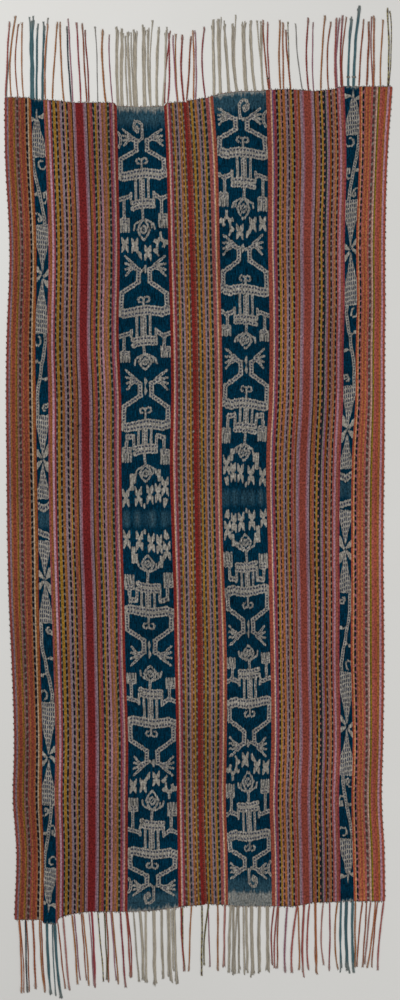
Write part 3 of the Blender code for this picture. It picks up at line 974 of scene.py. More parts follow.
def make_piece(name, points, faces, maps):
    """A mesh object from points in millimetres, arrays of faces and UV maps by corner, in metres."""
    mesh = bpy.data.meshes.new(name)
    mesh.vertices.add(len(points))
    mesh.vertices.foreach_set("co", (points * MM).astype(np.float32).ravel())
    corners = np.concatenate([group.ravel() for group in faces])
    sizes = np.concatenate([np.full(len(group), group.shape[1]) for group in faces])
    mesh.loops.add(len(corners))
    mesh.polygons.add(len(sizes))
    mesh.polygons.foreach_set("loop_start", np.concatenate([[0], np.cumsum(sizes)[:-1]]).astype(np.int32))
    mesh.polygons.foreach_set("vertices", corners.astype(np.int32))
    mesh.polygons.foreach_set("use_smooth", np.full(len(sizes), True))
    mesh.update(calc_edges=True)
    for title, places in maps.items():
        layer = mesh.uv_layers.new(name=title)
        layer.data.foreach_set("uv", places.astype(np.float32).ravel())
    mesh.validate()
    return set_in_scene(name, mesh)


def paint(made, title, values, domain):
    """Stores numbers or colours on a piece's points or face corners."""
    colour = values.ndim == 2
    layer = made.data.attributes.new(title, "FLOAT_COLOR" if colour else "FLOAT", domain)
    layer.data.foreach_set("color" if colour else "value", values.astype(np.float32).ravel())


def grid_quads(rows, columns, offset):
    """Faces of a grid of points, counted row by row from offset."""
    corner = offset + np.arange(rows - 1)[:, None] * columns + np.arange(columns - 1)[None, :]
    return np.stack([corner, corner + 1, corner + columns + 1, corner + columns], axis=-1).reshape(-1, 4)


def cloth_faces(columns):
    """Faces of a panel: its face side, its underside, its two cut ends and its two long sides.

    The underside has fewer rows, so each face of a long side has one step below and many above.
    """
    under = (FACE_ROWS + 1) * columns
    top = grid_quads(FACE_ROWS + 1, columns, 0)
    bottom = grid_quads(UNDER_ROWS + 1, columns, under)[:, ::-1]
    c = np.arange(columns - 1)
    last_top = FACE_ROWS * columns
    last_under = under + UNDER_ROWS * columns
    foot_end = np.stack([under + c, under + c + 1, c + 1, c], axis=-1)
    top_end = np.stack([last_under + c + 1, last_under + c, last_top + c, last_top + c + 1], axis=-1)
    r = np.arange(UNDER_ROWS)[:, None]
    above = (r * ROWS_ABOVE + np.arange(ROWS_ABOVE + 1)[None, :]) * columns
    below = under + r * columns
    outer_side = np.concatenate([below + columns, below, above], axis=1)
    seam_column = columns - 1
    seam_side = np.concatenate([below + seam_column, below + columns + seam_column,
                                above[:, ::-1] + seam_column], axis=1)
    return [top, bottom, foot_end, top_end, outer_side, seam_side]


def cloth_bake_map(edges):
    """Where each corner of a panel lies on its own square picture for the export.

    The face side is cut in half along its length and the halves lie side by side. The underside is a
    strip below them, and the four thin sides are ribbons between.
    """
    across = edges / PANEL_WIDTH
    near, far = across[:-1], across[1:]
    quads = np.stack([near, far, far, near], axis=-1)[None]
    row = np.arange(FACE_ROWS)
    half = FACE_ROWS // 2
    left = np.where(row < half, BAKE_EDGE, BAKE_SECOND_HALF)[:, None, None]
    low = (row % half)[:, None, None] / half
    u = left + BAKE_FACE_WIDE * quads
    v = BAKE_FACE_LOW + BAKE_FACE_TALL * (low + np.array([0, 0, 1, 1]) / half)
    top = points_of(u, v).reshape(-1, 2)
    under = np.arange(UNDER_ROWS)[:, None, None]
    u = BAKE_EDGE + (1 - 2 * BAKE_EDGE) * (under + np.array([0, 0, 1, 1])) / UNDER_ROWS
    v = BAKE_EDGE + BAKE_UNDER_TALL * quads
    bottom = points_of(u, v)[..., ::-1, :].reshape(-1, 2)
    ribbons = []
    for start, pair in zip(BAKE_RIBBONS, ((near, far, far, near), (far, near, near, far))):
        u = start + BAKE_RIBBON_LONG * np.stack(pair, axis=-1)
        ribbons.append(points_of(u, np.repeat(BAKE_RIBBON_HEIGHTS, 2)).reshape(-1, 2))
    rows = np.arange(UNDER_ROWS)[:, None]
    along = rows * ROWS_ABOVE + np.arange(ROWS_ABOVE + 1)[None, :]
    heights = np.repeat(BAKE_RIBBON_HEIGHTS, (2, ROWS_ABOVE + 1))
    for start, below, above in zip(BAKE_RIBBONS[2:], ((rows + 1, rows), (rows, rows + 1)),
                                   (along, along[:, ::-1])):
        places = np.concatenate([below[0] * ROWS_ABOVE, below[1] * ROWS_ABOVE, above], axis=1) / FACE_ROWS
        ribbons.append(points_of(start + BAKE_RIBBON_LONG * places, heights).reshape(-1, 2))
    return np.concatenate([top, bottom] + ribbons)


def woven_rows(panel, edges, count):
    """Places of warp and weft over a panel, from the last pick at its foot to the last pick at its top."""
    ragged = np.random.default_rng(SEED).uniform(-RAGGED_END, RAGGED_END, (2, len(edges)))
    top_line = end_line(panel, "top", edges) - np.abs(ragged[0])
    foot_line = end_line(panel, "foot", edges) + np.abs(ragged[1])
    y = foot_line + (top_line - foot_line) * np.linspace(0.0, 1.0, count + 1)[:, None]
    x = place_across(panel, edges, y)
    return x, y, cockle_height(x, y)


def cloth_panel(panel):
    """One loom width of the weave, its face side the cloth's thickness above its underside."""
    edges, first, second, phase, ikat = panel_layout(panel)
    x, y, floor = woven_rows(panel, edges, FACE_ROWS)
    under_x, under_y, under_floor = woven_rows(panel, edges, UNDER_ROWS)
    points = np.concatenate([points_of(x, y, floor + CLOTH_THICKNESS).reshape(-1, 3),
                             points_of(under_x, under_y, under_floor).reshape(-1, 3)])
    loom = np.concatenate([points_of(edges, rows).reshape(-1, 2) for rows in (y, under_y)]) * MM
    faces = cloth_faces(len(edges))
    bake = cloth_bake_map(edges)
    if panel["side"] == "right":
        starts = np.cumsum([0] + [group.size for group in faces])
        order = np.concatenate([np.arange(group.size).reshape(group.shape)[:, ::-1].ravel() + start
                                for group, start in zip(faces, starts)])
        faces = [group[:, ::-1] for group in faces]
        bake = bake[order]
    corners = np.concatenate([group.ravel() for group in faces])
    made = make_piece("cloth_" + panel["side"], points, faces, {"loom": loom[corners], "OFBake": bake})
    made.data.set_sharp_from_angle(angle=np.radians(50))

    strip = column_of_corner(faces, len(edges))
    edge = corners % len(edges)
    lane = np.where(ikat[strip] > 0, chart_place(panel, edges)[edge], np.where(edge > strip, 1.0, -1.0))
    paint(made, "yarn", with_share(first, ikat)[strip], "CORNER")
    paint(made, "other yarn", with_share(second, phase)[strip], "CORNER")
    paint(made, "lane", lane, "CORNER")
    paint_band_fields(made, panel, edges, y, under_y)
    paint(made, "mark", mark_depth(points), "POINT")
    return made


def mark_depth(points):
    """How dark the small round marks are at each point, with soft edges."""
    marks = np.zeros(len(points))
    for mark_x, mark_y, radius, depth in MARKS:
        away = np.hypot(points[:, 0] - mark_x, points[:, 1] - mark_y)
        edge = smooth_step(-away, -radius - MARK_SOFTNESS, -radius + MARK_SOFTNESS)
        marks = np.maximum(marks, depth * edge)
    return marks


def column_of_corner(faces, columns):
    """The column of the weave that each corner belongs to, which is its face's lower numbered one."""
    found = []
    for group in faces:
        column = np.minimum((group % columns).min(axis=1), columns - 2)
        found.append(np.repeat(column, group.shape[1]))
    return np.concatenate(found)


def with_share(colours, share):
    """Colours with a number in their fourth channel."""
    return np.concatenate([colours[:, :3], share[:, None]], axis=1)


def band_stretch(panel, row, edges):
    """Where an ikat band starts and stops on the loom, and which warp places lie in it."""
    start, stop = [panel["loom"][place] for place in row[2]]
    return start, stop, (edges >= start - 0.01) & (edges <= stop + 0.01)


def chart_place(panel, edges):
    """Millimetres across the chart of the ikat band that each warp place is in."""
    found = np.zeros(len(edges))
    for row in IKAT_BANDS:
        if row[0] == panel["side"]:
            start, stop, inside = band_stretch(panel, row, edges)
            found = np.where(inside, ((edges - start) / (stop - start) * 2 - 1) * row[5], found)
    return found


def paint_band_fields(made, panel, edges, y, under_y):
    """Stores what is drawn on both ikat bands on a panel's points: the drawing, its ties and their
    middles, the spindles and the depth of dye."""
    stored = {title: [] for title in BAND_FIELDS}
    for rows in (y, under_y):
        fields = {title: np.full(rows.shape, elsewhere) for title, elsewhere in BAND_FIELDS.items()}
        for band in [row for row in IKAT_BANDS if row[0] == panel["side"]]:
            inside = np.nonzero(band_stretch(panel, band, edges)[2])[0]
            found = band_fields(band, panel, edges[inside], rows[:, inside])
            for title, values in zip(fields, found):
                fields[title][:, inside] = values
        for title, values in fields.items():
            stored[title].append(values.ravel())
    for title, values in stored.items():
        paint(made, title, np.concatenate(values), "POINT")


def tubes(paths, radius, sides, flattened=1.0, lobes=0.0, turns=None):
    """Closed tubes round many paths at once, as points and faces.

    A ring's point stands off its path by the radius times the cosine of its angle sideways, and times
    the sine upwards. With lobes, the radius also swells and shrinks twice round the ring, and the
    swelling turns along the path as the two plies of a cord do.
    """
    count, rings, _ = paths.shape
    radius = np.broadcast_to(radius, (count, rings))
    tangent = np.gradient(paths, axis=1)
    tangent /= np.linalg.norm(tangent, axis=-1, keepdims=True)
    sideways = np.cross(tangent, (0.0, 0.0, 1.0))
    sideways /= np.linalg.norm(sideways, axis=-1, keepdims=True)
    upwards = np.cross(sideways, tangent)
    angle = 2 * np.pi * np.arange(sides) / sides
    twist = np.zeros((count, rings, 1)) if turns is None else 2 * np.pi * turns[..., None]
    swelling = np.cos(2 * (angle - twist))
    reach = radius[..., None] * (1 + lobes * swelling)
    points = paths[:, :, None] + reach[..., None] * (
        np.cos(angle)[:, None] * sideways[:, :, None]
        + flattened * np.sin(angle)[:, None] * upwards[:, :, None])
    first = np.arange(count * rings).reshape(count, rings) * sides
    here = first[:, :-1, None] + np.arange(sides)
    after = first[:, :-1, None] + (np.arange(sides) + 1) % sides
    walls = np.stack([here, here + sides, after + sides, after], axis=-1).reshape(-1, 4)
    near_caps = first[:, 0, None] + np.arange(sides)
    far_caps = (first[:, -1, None] + np.arange(sides))[:, ::-1]
    return {"points": points.reshape(-1, 3), "faces": [walls, near_caps, far_caps],
            "swelling": np.broadcast_to(swelling, (count, rings, sides)).ravel(),
            "size": (count, rings, sides)}


def tube_bake_map(made, low, high, columns):
    """Cells of the export's picture, one for each tube, between two heights: its wall unrolled on the
    left of the cell and its two end caps on the right."""
    count, rings, sides = made["size"]
    lines = -(-count // columns)
    cell = np.arange(count)
    left = (cell % columns)[:, None, None, None] / columns
    base = low + (high - low) * (cell // columns)[:, None, None, None] / lines
    tall = (high - low) / lines
    ring = np.arange(rings - 1)[:, None, None] + np.array([0, 1, 1, 0])
    side = np.arange(sides)[:, None] + np.array([0, 0, 1, 1])
    wall_left, wall_wide, wall_foot, wall_tall = CELL_WALL
    u = left + (wall_left + wall_wide * ring / (rings - 1)) / columns
    v = base + tall * (wall_foot + wall_tall * side / sides)
    maps = [points_of(u, v).reshape(-1, 2)]
    angle = 2 * np.pi * np.arange(sides) / sides
    cap_middle, cap_half_wide = CELL_CAP_ACROSS
    for middle, turn in CELL_CAPS:
        u = left[:, 0, 0] + (cap_middle + cap_half_wide * np.cos(angle)[::turn]) / columns
        v = base[:, 0, 0] + tall * (middle + CELL_CAP_HALF_TALL * np.sin(angle)[::turn])
        maps.append(points_of(u, v).reshape(-1, 2))
    return np.concatenate(maps)


def join_tubes(name, parts):
    """One piece from several sets of tubes, each with its own share of the export's picture.

    parts: (tubes, colours by tube, share of the picture, cells in a line of it)
    """
    faces, maps, colours = [], [], []
    offset = 0
    low = BAKE_TUBES_EDGE
    for made, colour, share, columns in parts:
        high = low + (1 - 2 * BAKE_TUBES_EDGE) * share
        faces += [group + offset for group in made["faces"]]
        maps.append(tube_bake_map(made, low, high, columns))
        colours.append(np.broadcast_to(colour, (*made["size"], 4)).reshape(-1, 4))
        offset += len(made["points"])
        low = high
    points = np.concatenate([made["points"] for made, *_ in parts])
    piece = make_piece(name, points, faces, {"OFBake": np.concatenate(maps)})
    paint(piece, "yarn", np.concatenate(colours), "POINT")
    # The ply swelling, stored for the painted shade in the groove between the plies
    paint(piece, "ply_groove_shade", np.concatenate([made["swelling"] for made, *_ in parts]), "POINT")
    piece.data.set_sharp_from_angle(angle=np.radians(60))
    return piece


def side_by_side(widths):
    """How many yarns each strand has, which strand each yarn belongs to, and its place in it from -0.5 to
    0.5: 0 for a cord."""
    counts = np.where(widths >= BUNDLE_FROM, np.round(widths / BUNDLED_YARN), 1).astype(int)
    strand = np.repeat(np.arange(len(widths)), counts)
    place = np.concatenate([(np.arange(count) + 0.5) / count - 0.5 for count in counts])
    return counts, strand, place[:, None]


def cut_edge_at(panel, end, x):
    """How far along the cloth's end lies, at places across the floor."""
    lines = np.array(panel["lines"], dtype=float)
    at_end = np.mean([row[END_COLUMN[end]] for row in panel["ends"]])
    outer = smooth_curve(at_end, lines[:, 0], lines[:, 1])
    seam = smooth_curve(at_end, lines[:, 0], lines[:, -1])
    return end_line(panel, end, PANEL_WIDTH * (x - outer) / (seam - outer))


def strand_yarns(panel, end, strands, random):
    """The strands of one fringe as tubes, their paths, the share of the way along each, which strand
    each yarn is in, and which yarns are in a bundle.

    A strand runs from its root to its tip along a parabola of its own bow, plus a slow sine. A thin one
    is a cord whose thickness swells out of the cloth in its first few millimetres. A wide one is a row
    of yarns, each with its own slow sine, that fan out at the tip.
    """
    table = np.array([row[:5] for row in strands], dtype=float)
    counts, strand, place = side_by_side(table[:, 4])
    start = cut_edge_at(panel, end, table[:, 0])[strand][:, None]
    root, bow, tip, reach, width = table[strand].T[..., None]
    bundled = (counts > 1)[strand][:, None]
    each = bundled.shape

    full = OUTWARD[end] * reach - start
    full = full * np.where(bundled, random.uniform(0.93, 1.02, each), 1.0)
    length = np.abs(full)
    share = np.linspace(0.0, 1.0, STRAND_RINGS)[None, :]
    share = share - STRAND_INSET / length * (1 - share)
    inside = np.clip(share, 0.0, 1.0)
    from_cloth = share * length
    wander = random.uniform(0, 2 * np.pi, (2, *each))
    pace = random.uniform(2.0, 3.4, each)
    lane_width = np.where(bundled, width, 0.0)
    fanned = 1 + BUNDLE_FAN * smooth_step(inside, 0.92, 1.0) - 0.1 * smooth_step(inside, 0.0, 0.12)
    x = root + (tip - root) * share[0] + 4 * bow * inside * (1 - inside)
    x += place * lane_width * BUNDLE_PACKING * fanned
    x += STRAND_WANDER * np.sin(2 * np.pi * pace * inside / 2 + wander[0]) * inside
    x += BUNDLE_WANDER * lane_width * np.sin(2 * np.pi * pace * inside + wander[1]) * inside
    y = start + full * share

    swell = np.where(bundled, BUNDLE_ROOT_SHARE, CORD_ROOT_SHARE)
    swell = swell + (1 - swell) * smooth_step(from_cloth, -1.0, ROOT_LENGTH)
    tuft = 1 + TIP_SWELLING * smooth_step(inside, 0.9, 0.95) - TIP_TAPER * smooth_step(inside, 0.96, 1.0)
    uneven = 1 + UNEVEN_SHARE * np.sin(from_cloth / UNEVEN_LENGTH + wander[1])
    share_of_width = width / counts[strand][:, None] * random.uniform(1.0, 1.4, each)
    yarn_width = np.where(bundled, share_of_width, width)
    radius = yarn_width / 2 * swell * tuft * uneven * SPUN_SHARE
    lobes = np.where(bundled, BUNDLE_LOBES, CORD_LOBES)
    flattened = np.where(bundled, BUNDLE_FLATTENED, CORD_FLATTENED)
    resting = radius * flattened * (1 + lobes) + FLOOR_GAP
    height = np.maximum(resting, CLOTH_THICKNESS / 2 * (1 - smooth_step(from_cloth, 0.0, 4.0)))
    paths = np.stack([x, y, height], axis=-1)
    turn_length = yarn_width * np.where(bundled, BUNDLE_TURN_IN_WIDTHS, CORD_TURN_IN_WIDTHS)
    turns = from_cloth / turn_length * OUTWARD[end] + random.uniform(0, 1, each)
    yarns = tubes(paths, radius, STRAND_SIDES, flattened[..., None, None], lobes[..., None], turns)
    return yarns, paths, inside, strand, bundled


def strand_colours(strands, strand, bundled, inside, random):
    """The colour of every ring of every yarn: each strand and each bundled yarn a little different, and
    all of them bleached towards the tip. Straw yarn is speckled, which its fourth number says."""
    names = [row[5] for row in strands]
    colours = np.array([linear(yarn) for yarn in names])
    colours[:, :3] *= STRAND_TONE * random.uniform(0.88, 1.12, (len(names), 1))
    colours[:, 3] = [1.0 if yarn == "straw" else 0.0 for yarn in names]
    colours = colours[strand]
    colours[:, :3] *= np.where(bundled, random.uniform(0.78, 1.22, bundled.shape), 1.0)
    bleached = np.array(linear("frayed"))[:3]
    along = np.broadcast_to(colours[:, None, None], (len(strand), STRAND_RINGS, 1, 4)).copy()
    worn = (TIP_WEAR * smooth_step(inside, 0.8, 1.0))[..., None, None]
    along[..., :3] += (bleached - along[..., :3]) * worn
    return along


def fringe(name, panel, end, strands):
    """Warp ends, the loose yarns at their tips, the cut ends between them and the last picks of the weft
    that they hang from."""
    random = np.random.default_rng(SEED + len(name))
    yarns, paths, inside, strand, bundled = strand_yarns(panel, end, strands, random)
    along = strand_colours(strands, strand, bundled, inside, random)
    loose = loose_yarns(paths, end, random)
    tip_colours = np.repeat(along[:, -1], LOOSE_YARNS, axis=0)[:, None]
    stubs, stub_colours = cut_ends(panel, end, random)
    parts = [(yarns, along, 0.64, 2), (loose, tip_colours, 0.18, 24), (stubs, stub_colours, 0.12, 24)]
    picks = (closing_picks(panel, end), linear("brown rose"))
    if name.endswith("top_right"):
        parts += [(*picks, 0.03, 1), (windings(), linear("frayed"), 0.03, 1)]
    else:
        parts.append((*picks, 0.06, 1))
    return join_tubes(name, parts)


def loose_yarns(paths, end, random):
    """Short yarns that fan out of the last millimetres of each strand and curl a little."""
    each = (len(paths), LOOSE_YARNS, 1)
    tip_x, tip_y, tip_z = paths[:, -3].T[..., None, None]
    t = np.linspace(0.0, 1.0, LOOSE_RINGS)[None, None, :]
    fan = random.uniform(-0.3, 0.3, each)
    curl = random.uniform(-2.0, 2.0, each)
    length = random.uniform(0.4, 1.0, each) * LOOSE_LENGTH
    x = tip_x + fan * length * t + curl * np.sin(np.pi * t) * t
    y = tip_y + OUTWARD[end] * length * (t - 0.55)
    z = YARN_RADIUS + 0.1 + (tip_z - YARN_RADIUS) * (1 - t) ** 2
    return tubes(points_of(x, y, z).reshape(-1, LOOSE_RINGS, 3), YARN_RADIUS * (1 - 0.75 * t[0] ** 2), 4)


def cut_ends(panel, end, random):
    """Short pale ends of warp that stand out of the cloth's edge and lean to one side or the other."""
    across = np.arange(4.0, PANEL_WIDTH - 4.0, CUT_END_PITCH)
    across = across + random.uniform(-3.0, 3.0, len(across))
    edge = end_line(panel, end, across)
    lean = random.uniform(-2.5, 2.5, (len(across), 1))
    length = CUT_END_LENGTH * random.uniform(0.35, 1.0, (len(across), 1))
    t = np.linspace(0.0, 1.0, 5)[None, :]
    x = place_across(panel, across, edge)[:, None] + lean * t ** 2
    y = edge[:, None] + OUTWARD[end] * (-1.0 + (length + 1.0) * t)
    made = tubes(points_of(x, y, 0.85 - 0.2 * t), YARN_RADIUS, 4)
    undyed = (across > panel["loom"][WIDE[0]]) & (across < panel["loom"][WIDE[1]])
    return made, shades("frayed", random.uniform(0.4, 1.0, len(across)) * np.where(undyed, 1.5, 0.8))


def windings():
    """Turns of pale thread over a strand: half an ellipse from floor to floor."""
    t = np.linspace(0.0, np.pi, ARCH_RINGS)
    paths = [points_of(x - width / 2 * np.cos(t), y + WINDING_PITCH * turn,
                       0.7 + WINDING_HEIGHT * np.sin(t))
             for x, y, width in WINDINGS for turn in (-1, 0, 1)]
    return tubes(np.array(paths), WINDING_RADIUS, 6)


def closing_picks(panel, end):
    """Two picks of weft along the cloth's cut end."""
    across = np.linspace(2.0, PANEL_WIDTH - 2.0, PICK_RINGS)
    paths = []
    for inwards in (0.2, -1.1):
        y = end_line(panel, end, across) + OUTWARD[end] * inwards
        y = y + 0.25 * np.sin(across / 1.3)
        z = 0.8 + 0.15 * np.sin(across / 0.9 + inwards)
        paths.append(np.stack([place_across(panel, across, y), y, z], axis=-1))
    return tubes(np.array(paths), YARN_RADIUS, 4)


def weft_loops(panel):
    """Pale weft that turns round the outermost warp threads and stands proud of the selvedge.

    Each loop is half an ellipse in the plane of the cloth.
    """
    random = np.random.default_rng(SEED + 3)
    _, top, foot = panel["ends"][0]
    middles = np.arange(foot + 12.0, top - 10.0, LOOP_PITCH)
    middles = (middles + random.uniform(-2.0, 2.0, len(middles)))[:, None]
    angle = np.linspace(0.0, np.pi, ARCH_RINGS)[None, :]
    length = LOOP_LENGTH * random.uniform(0.7, 1.2, middles.shape)
    reach = LOOP_REACH * random.uniform(0.6, 1.1, middles.shape)
    y = middles - length / 2 * np.cos(angle)
    edge = place_across(panel, np.zeros(1), middles)
    x = edge + panel["outer side"] * (reach * np.sin(angle) - 1.0)
    z = cockle_height(edge, middles) + CLOTH_THICKNESS / 2 + 0.45 * np.cos(angle)
    z = np.maximum(z, LOOP_RADIUS * (1 + CORD_LOBES) + FLOOR_GAP)
    turns = np.broadcast_to(angle / 2, x.shape)
    made = tubes(points_of(x, y, z), LOOP_RADIUS, 6, lobes=CORD_LOBES, turns=turns)
    colours = shades("undyed", random.uniform(0.5, 0.85, len(middles)))
    return join_tubes("weft_loops_" + panel["side"], [(made, colours, 1.0, 12)])


def seam_stitches(panel):
    """Whip stitches over the seam: slanted arches from one panel to the other."""
    random = np.random.default_rng(SEED + 5)
    middles = np.arange(*SEAM, STITCH_PITCH)
    middles = (middles + random.uniform(-0.5, 0.5, len(middles)))[:, None]
    t = np.linspace(-1.0, 1.0, ARCH_RINGS)[None, :]
    seam = place_across(panel, np.full(1, PANEL_WIDTH), middles)
    x = seam + CLEARANCE / 2 + t * STITCH_HALF_SPAN
    y = middles + t * STITCH_SLANT
    z = cockle_height(x, y) + CLOTH_THICKNESS + STITCH_RADIUS * (0.9 - 1.7 * t ** 4)
    colours = shades("red", random.uniform(0.45, 0.95, len(middles)))
    return join_tubes("seam_stitches", [(tubes(points_of(x, y, z), STITCH_RADIUS, 6), colours, 1.0, 20)])


def stray_stitch():
    """A short end of white thread beside the seam."""
    places = np.array(STRAY_STITCH, dtype=float)
    t = np.linspace(0.0, 1.0, 12)
    x = np.interp(t, np.linspace(0, 1, len(places)), places[:, 0]) + 0.5 * np.sin(t * 7)
    y = np.interp(t, np.linspace(0, 1, len(places)), places[:, 1])
    z = cockle_height(x, y) + CLOTH_THICKNESS + 0.5
    made = tubes(np.stack([x, y, z], axis=-1)[None], STRAY_RADIUS, 6)
    return join_tubes("stray_stitch", [(made, linear("white thread"), 1.0, 1)])


def add(tree, kind, inputs=(), out=0, **settings):
    """Adds a node with its settings, links or fills its inputs, and gives back one of its outputs.

    inputs: sockets or values, in the order of the node's inputs or by their names or numbers
    """
    made = tree.nodes.new("ShaderNode" + kind)
    for name, value in settings.items():
        setattr(made, name, value)
    for name, value in (inputs if isinstance(inputs, dict) else dict(enumerate(inputs))).items():
        if isinstance(value, bpy.types.NodeSocket):
            tree.links.new(value, made.inputs[name])
        else:
            made.inputs[name].default_value = value
    return made.outputs[out] if len(made.outputs) else None


def empty_material(name):
    """A material with nothing but its output, and its node tree."""
    material = bpy.data.materials.new(name)
    material.use_nodes = True
    tree = material.node_tree
    tree.nodes.clear()
    return material, tree


def blotches(tree, place, across, along, detail):
    """Soft blotches between 0 and 1, about so many metres across and along."""
    placed = add(tree, "Mapping", {"Vector": place, "Scale": (1 / across, 1 / along, 1.0)})
    return add(tree, "TexNoise", {"Vector": placed, "Scale": 1.0, "Detail": detail}, "Fac")


def swing(tree, value, period, phase=0.0):
    """A cosine between -1 and 1 of a length, with a phase in turns."""
    turns = add(tree, "Math", (value, 1 / period, phase), **SCALED)
    return add(tree, "Math", (add(tree, "Math", (turns, 2 * np.pi), **TIMES),), operation="COSINE")


def yarn_turns(tree, lane, along, fleck, drift, yarn):
    """Two yarns that take turns: dark ovals as wide as their stripe, the paler yarn between them."""
    other = add(tree, "Attribute", out="Color", attribute_name="other yarn")
    late = add(tree, "Math", (drift, 1.6, other.node.outputs["Alpha"]), **SCALED)
    turn = swing(tree, along, DASH_PERIOD, late)
    from_middle = add(tree, "Math", (lane, lane), **TIMES)
    rounded = add(tree, "Math", (from_middle, -0.7, 0.75), **SCALED)
    rounded = add(tree, "Math", (rounded, 0.8), operation="SUBTRACT")
    rounded = add(tree, "Math", (fleck, 1.6, rounded), **SCALED)
    dash = add(tree, "Math", (turn, rounded), operation="ADD")
    dash = add(tree, "MapRange", (dash, -0.35, 0.35), **EASED)
    return add(tree, "Mix", {0: dash, 6: yarn, 7: other}, **COLOURED)


def dark_ties(tree, stored, drawing, spindle, along, thread, drift):
    """Where a tie let no dye out: dots along the middle of every stroke, and rows of dashes in the
    spindles, each row a little late from file to file."""
    late = add(tree, "Math", (drift, 0.8), **TIMES)
    tie = add(tree, "MapRange", (swing(tree, stored["ties"], 1.0, late), -1.0, 0.0), **EASED)
    nearness = add(tree, "Math", (thread, 0.3, stored["middle"]), **SCALED)
    nearness = add(tree, "MapRange", (nearness, 0.55, 0.95), **EASED)
    cores = add(tree, "Math", (tie, nearness), **TIMES)
    well_inside = add(tree, "MapRange", (drawing, 0.6, 2.4), **EASED)
    cores = add(tree, "Math", (cores, well_inside), **TIMES)
    files = add(tree, "Math", (stored["lane"], 1 / SPINDLE_FILE, 0.5), **SCALED)
    late = add(tree, "Math", (files, 0.09, drift), **SCALED)
    row = add(tree, "MapRange", (swing(tree, along, SPINDLE_ROW * MM, late), -0.9, 0.0), **EASED)
    file = add(tree, "MapRange", (swing(tree, files, 1.0), -0.6, 0.3), **EASED)
    dashes = add(tree, "Math", (row, file), **TIMES)
    well_inside = add(tree, "MapRange", (spindle, 0.4, 2.2), **EASED)
    dashes = add(tree, "Math", (dashes, well_inside), **TIMES)
    return add(tree, "Math", (cores, dashes), operation="MAXIMUM")


def resisted_indigo(tree, stored, along, thread, drift):
    """Indigo with the resisted drawing in it, whose edge wanders as dye creeps into the tied warp. At
    half its depth the dye is a thin blue, and towards none of it the cotton shows."""
    creep = add(tree, "Math", (thread, 3.0, -1.5), **SCALED)
    drawing, spindle = [add(tree, "Math", (stored[name], creep), operation="ADD")
                        for name in ("drawing", "spindle")]
    edges = (add(tree, "MapRange", (drawing, -0.9, 1.1), **EASED),
             add(tree, "MapRange", (spindle, -0.8, 1.0), **EASED))
    light = add(tree, "Math", edges, operation="MAXIMUM")
    ties = dark_ties(tree, stored, drawing, spindle, along, thread, drift)
    blue_thread = add(tree, "MapRange", (thread, 0.3, 0.75), **EASED)
    pale_thread = add(tree, "MapRange", (thread, 0.3, 0.7), **EASED)
    deep, thin, cotton, undyed = [
        add(tree, "Mix", {0: by_thread, 6: linear(dark), 7: linear(pale)}, **COLOURED)
        for by_thread, dark, pale in ((blue_thread, "001522", "003349"), (blue_thread, "183340", "2D4955"),
                                      (pale_thread, "69665F", "9C968C"), (pale_thread, "5A6366", "7E7C75"))]
    half_dyed = add(tree, "MapRange", (stored["dye"], 0.0, 0.5), **EASED)
    full_dyed = add(tree, "MapRange", (stored["dye"], 0.5, 1.0), **EASED)
    indigo = add(tree, "Mix", {0: full_dyed, 6: thin, 7: deep}, **COLOURED)
    cotton = add(tree, "Mix", {0: ties, 6: cotton, 7: linear("343A4A")}, **COLOURED)
    ikat = add(tree, "Mix", {0: light, 6: indigo, 7: cotton}, **COLOURED)
    return add(tree, "Mix", {0: half_dyed, 6: undyed, 7: ikat}, **COLOURED)


def lit(tree, colour, *shares):
    """A colour made lighter and darker by several patterns, each multiplied and added to first."""
    lightness, *others = [add(tree, "Math", share, **SCALED) for share in shares]
    for other in others:
        lightness = add(tree, "Math", (lightness, other), **TIMES)
    return add(tree, "HueSaturation", {"Color": colour, "Value": lightness})


def weave_relief(tree, across, along):
    """Rounded warp threads that rise and fall over the weft, neighbours by turns.

    Threads are really 0.8 mm apart. They are drawn twice as coarse, so that they show.
    """
    crown = add(tree, "Math", (swing(tree, across, WARP_PITCH), 0.5, 0.5), **SCALED)
    thread_number = add(tree, "Math", (across, 1 / WARP_PITCH, 0.5), **SCALED)
    thread_number = add(tree, "Math", (thread_number,), operation="FLOOR")
    by_turns = add(tree, "Math", (thread_number, 0.5), **TIMES)
    rib = add(tree, "Math", (swing(tree, along, WEFT_PITCH, by_turns), 0.3, 0.7), **SCALED)
    height = add(tree, "Math", (crown, rib), **TIMES)
    return add(tree, "Bump", {"Height": height, "Distance": 0.0004, "Strength": 0.5})


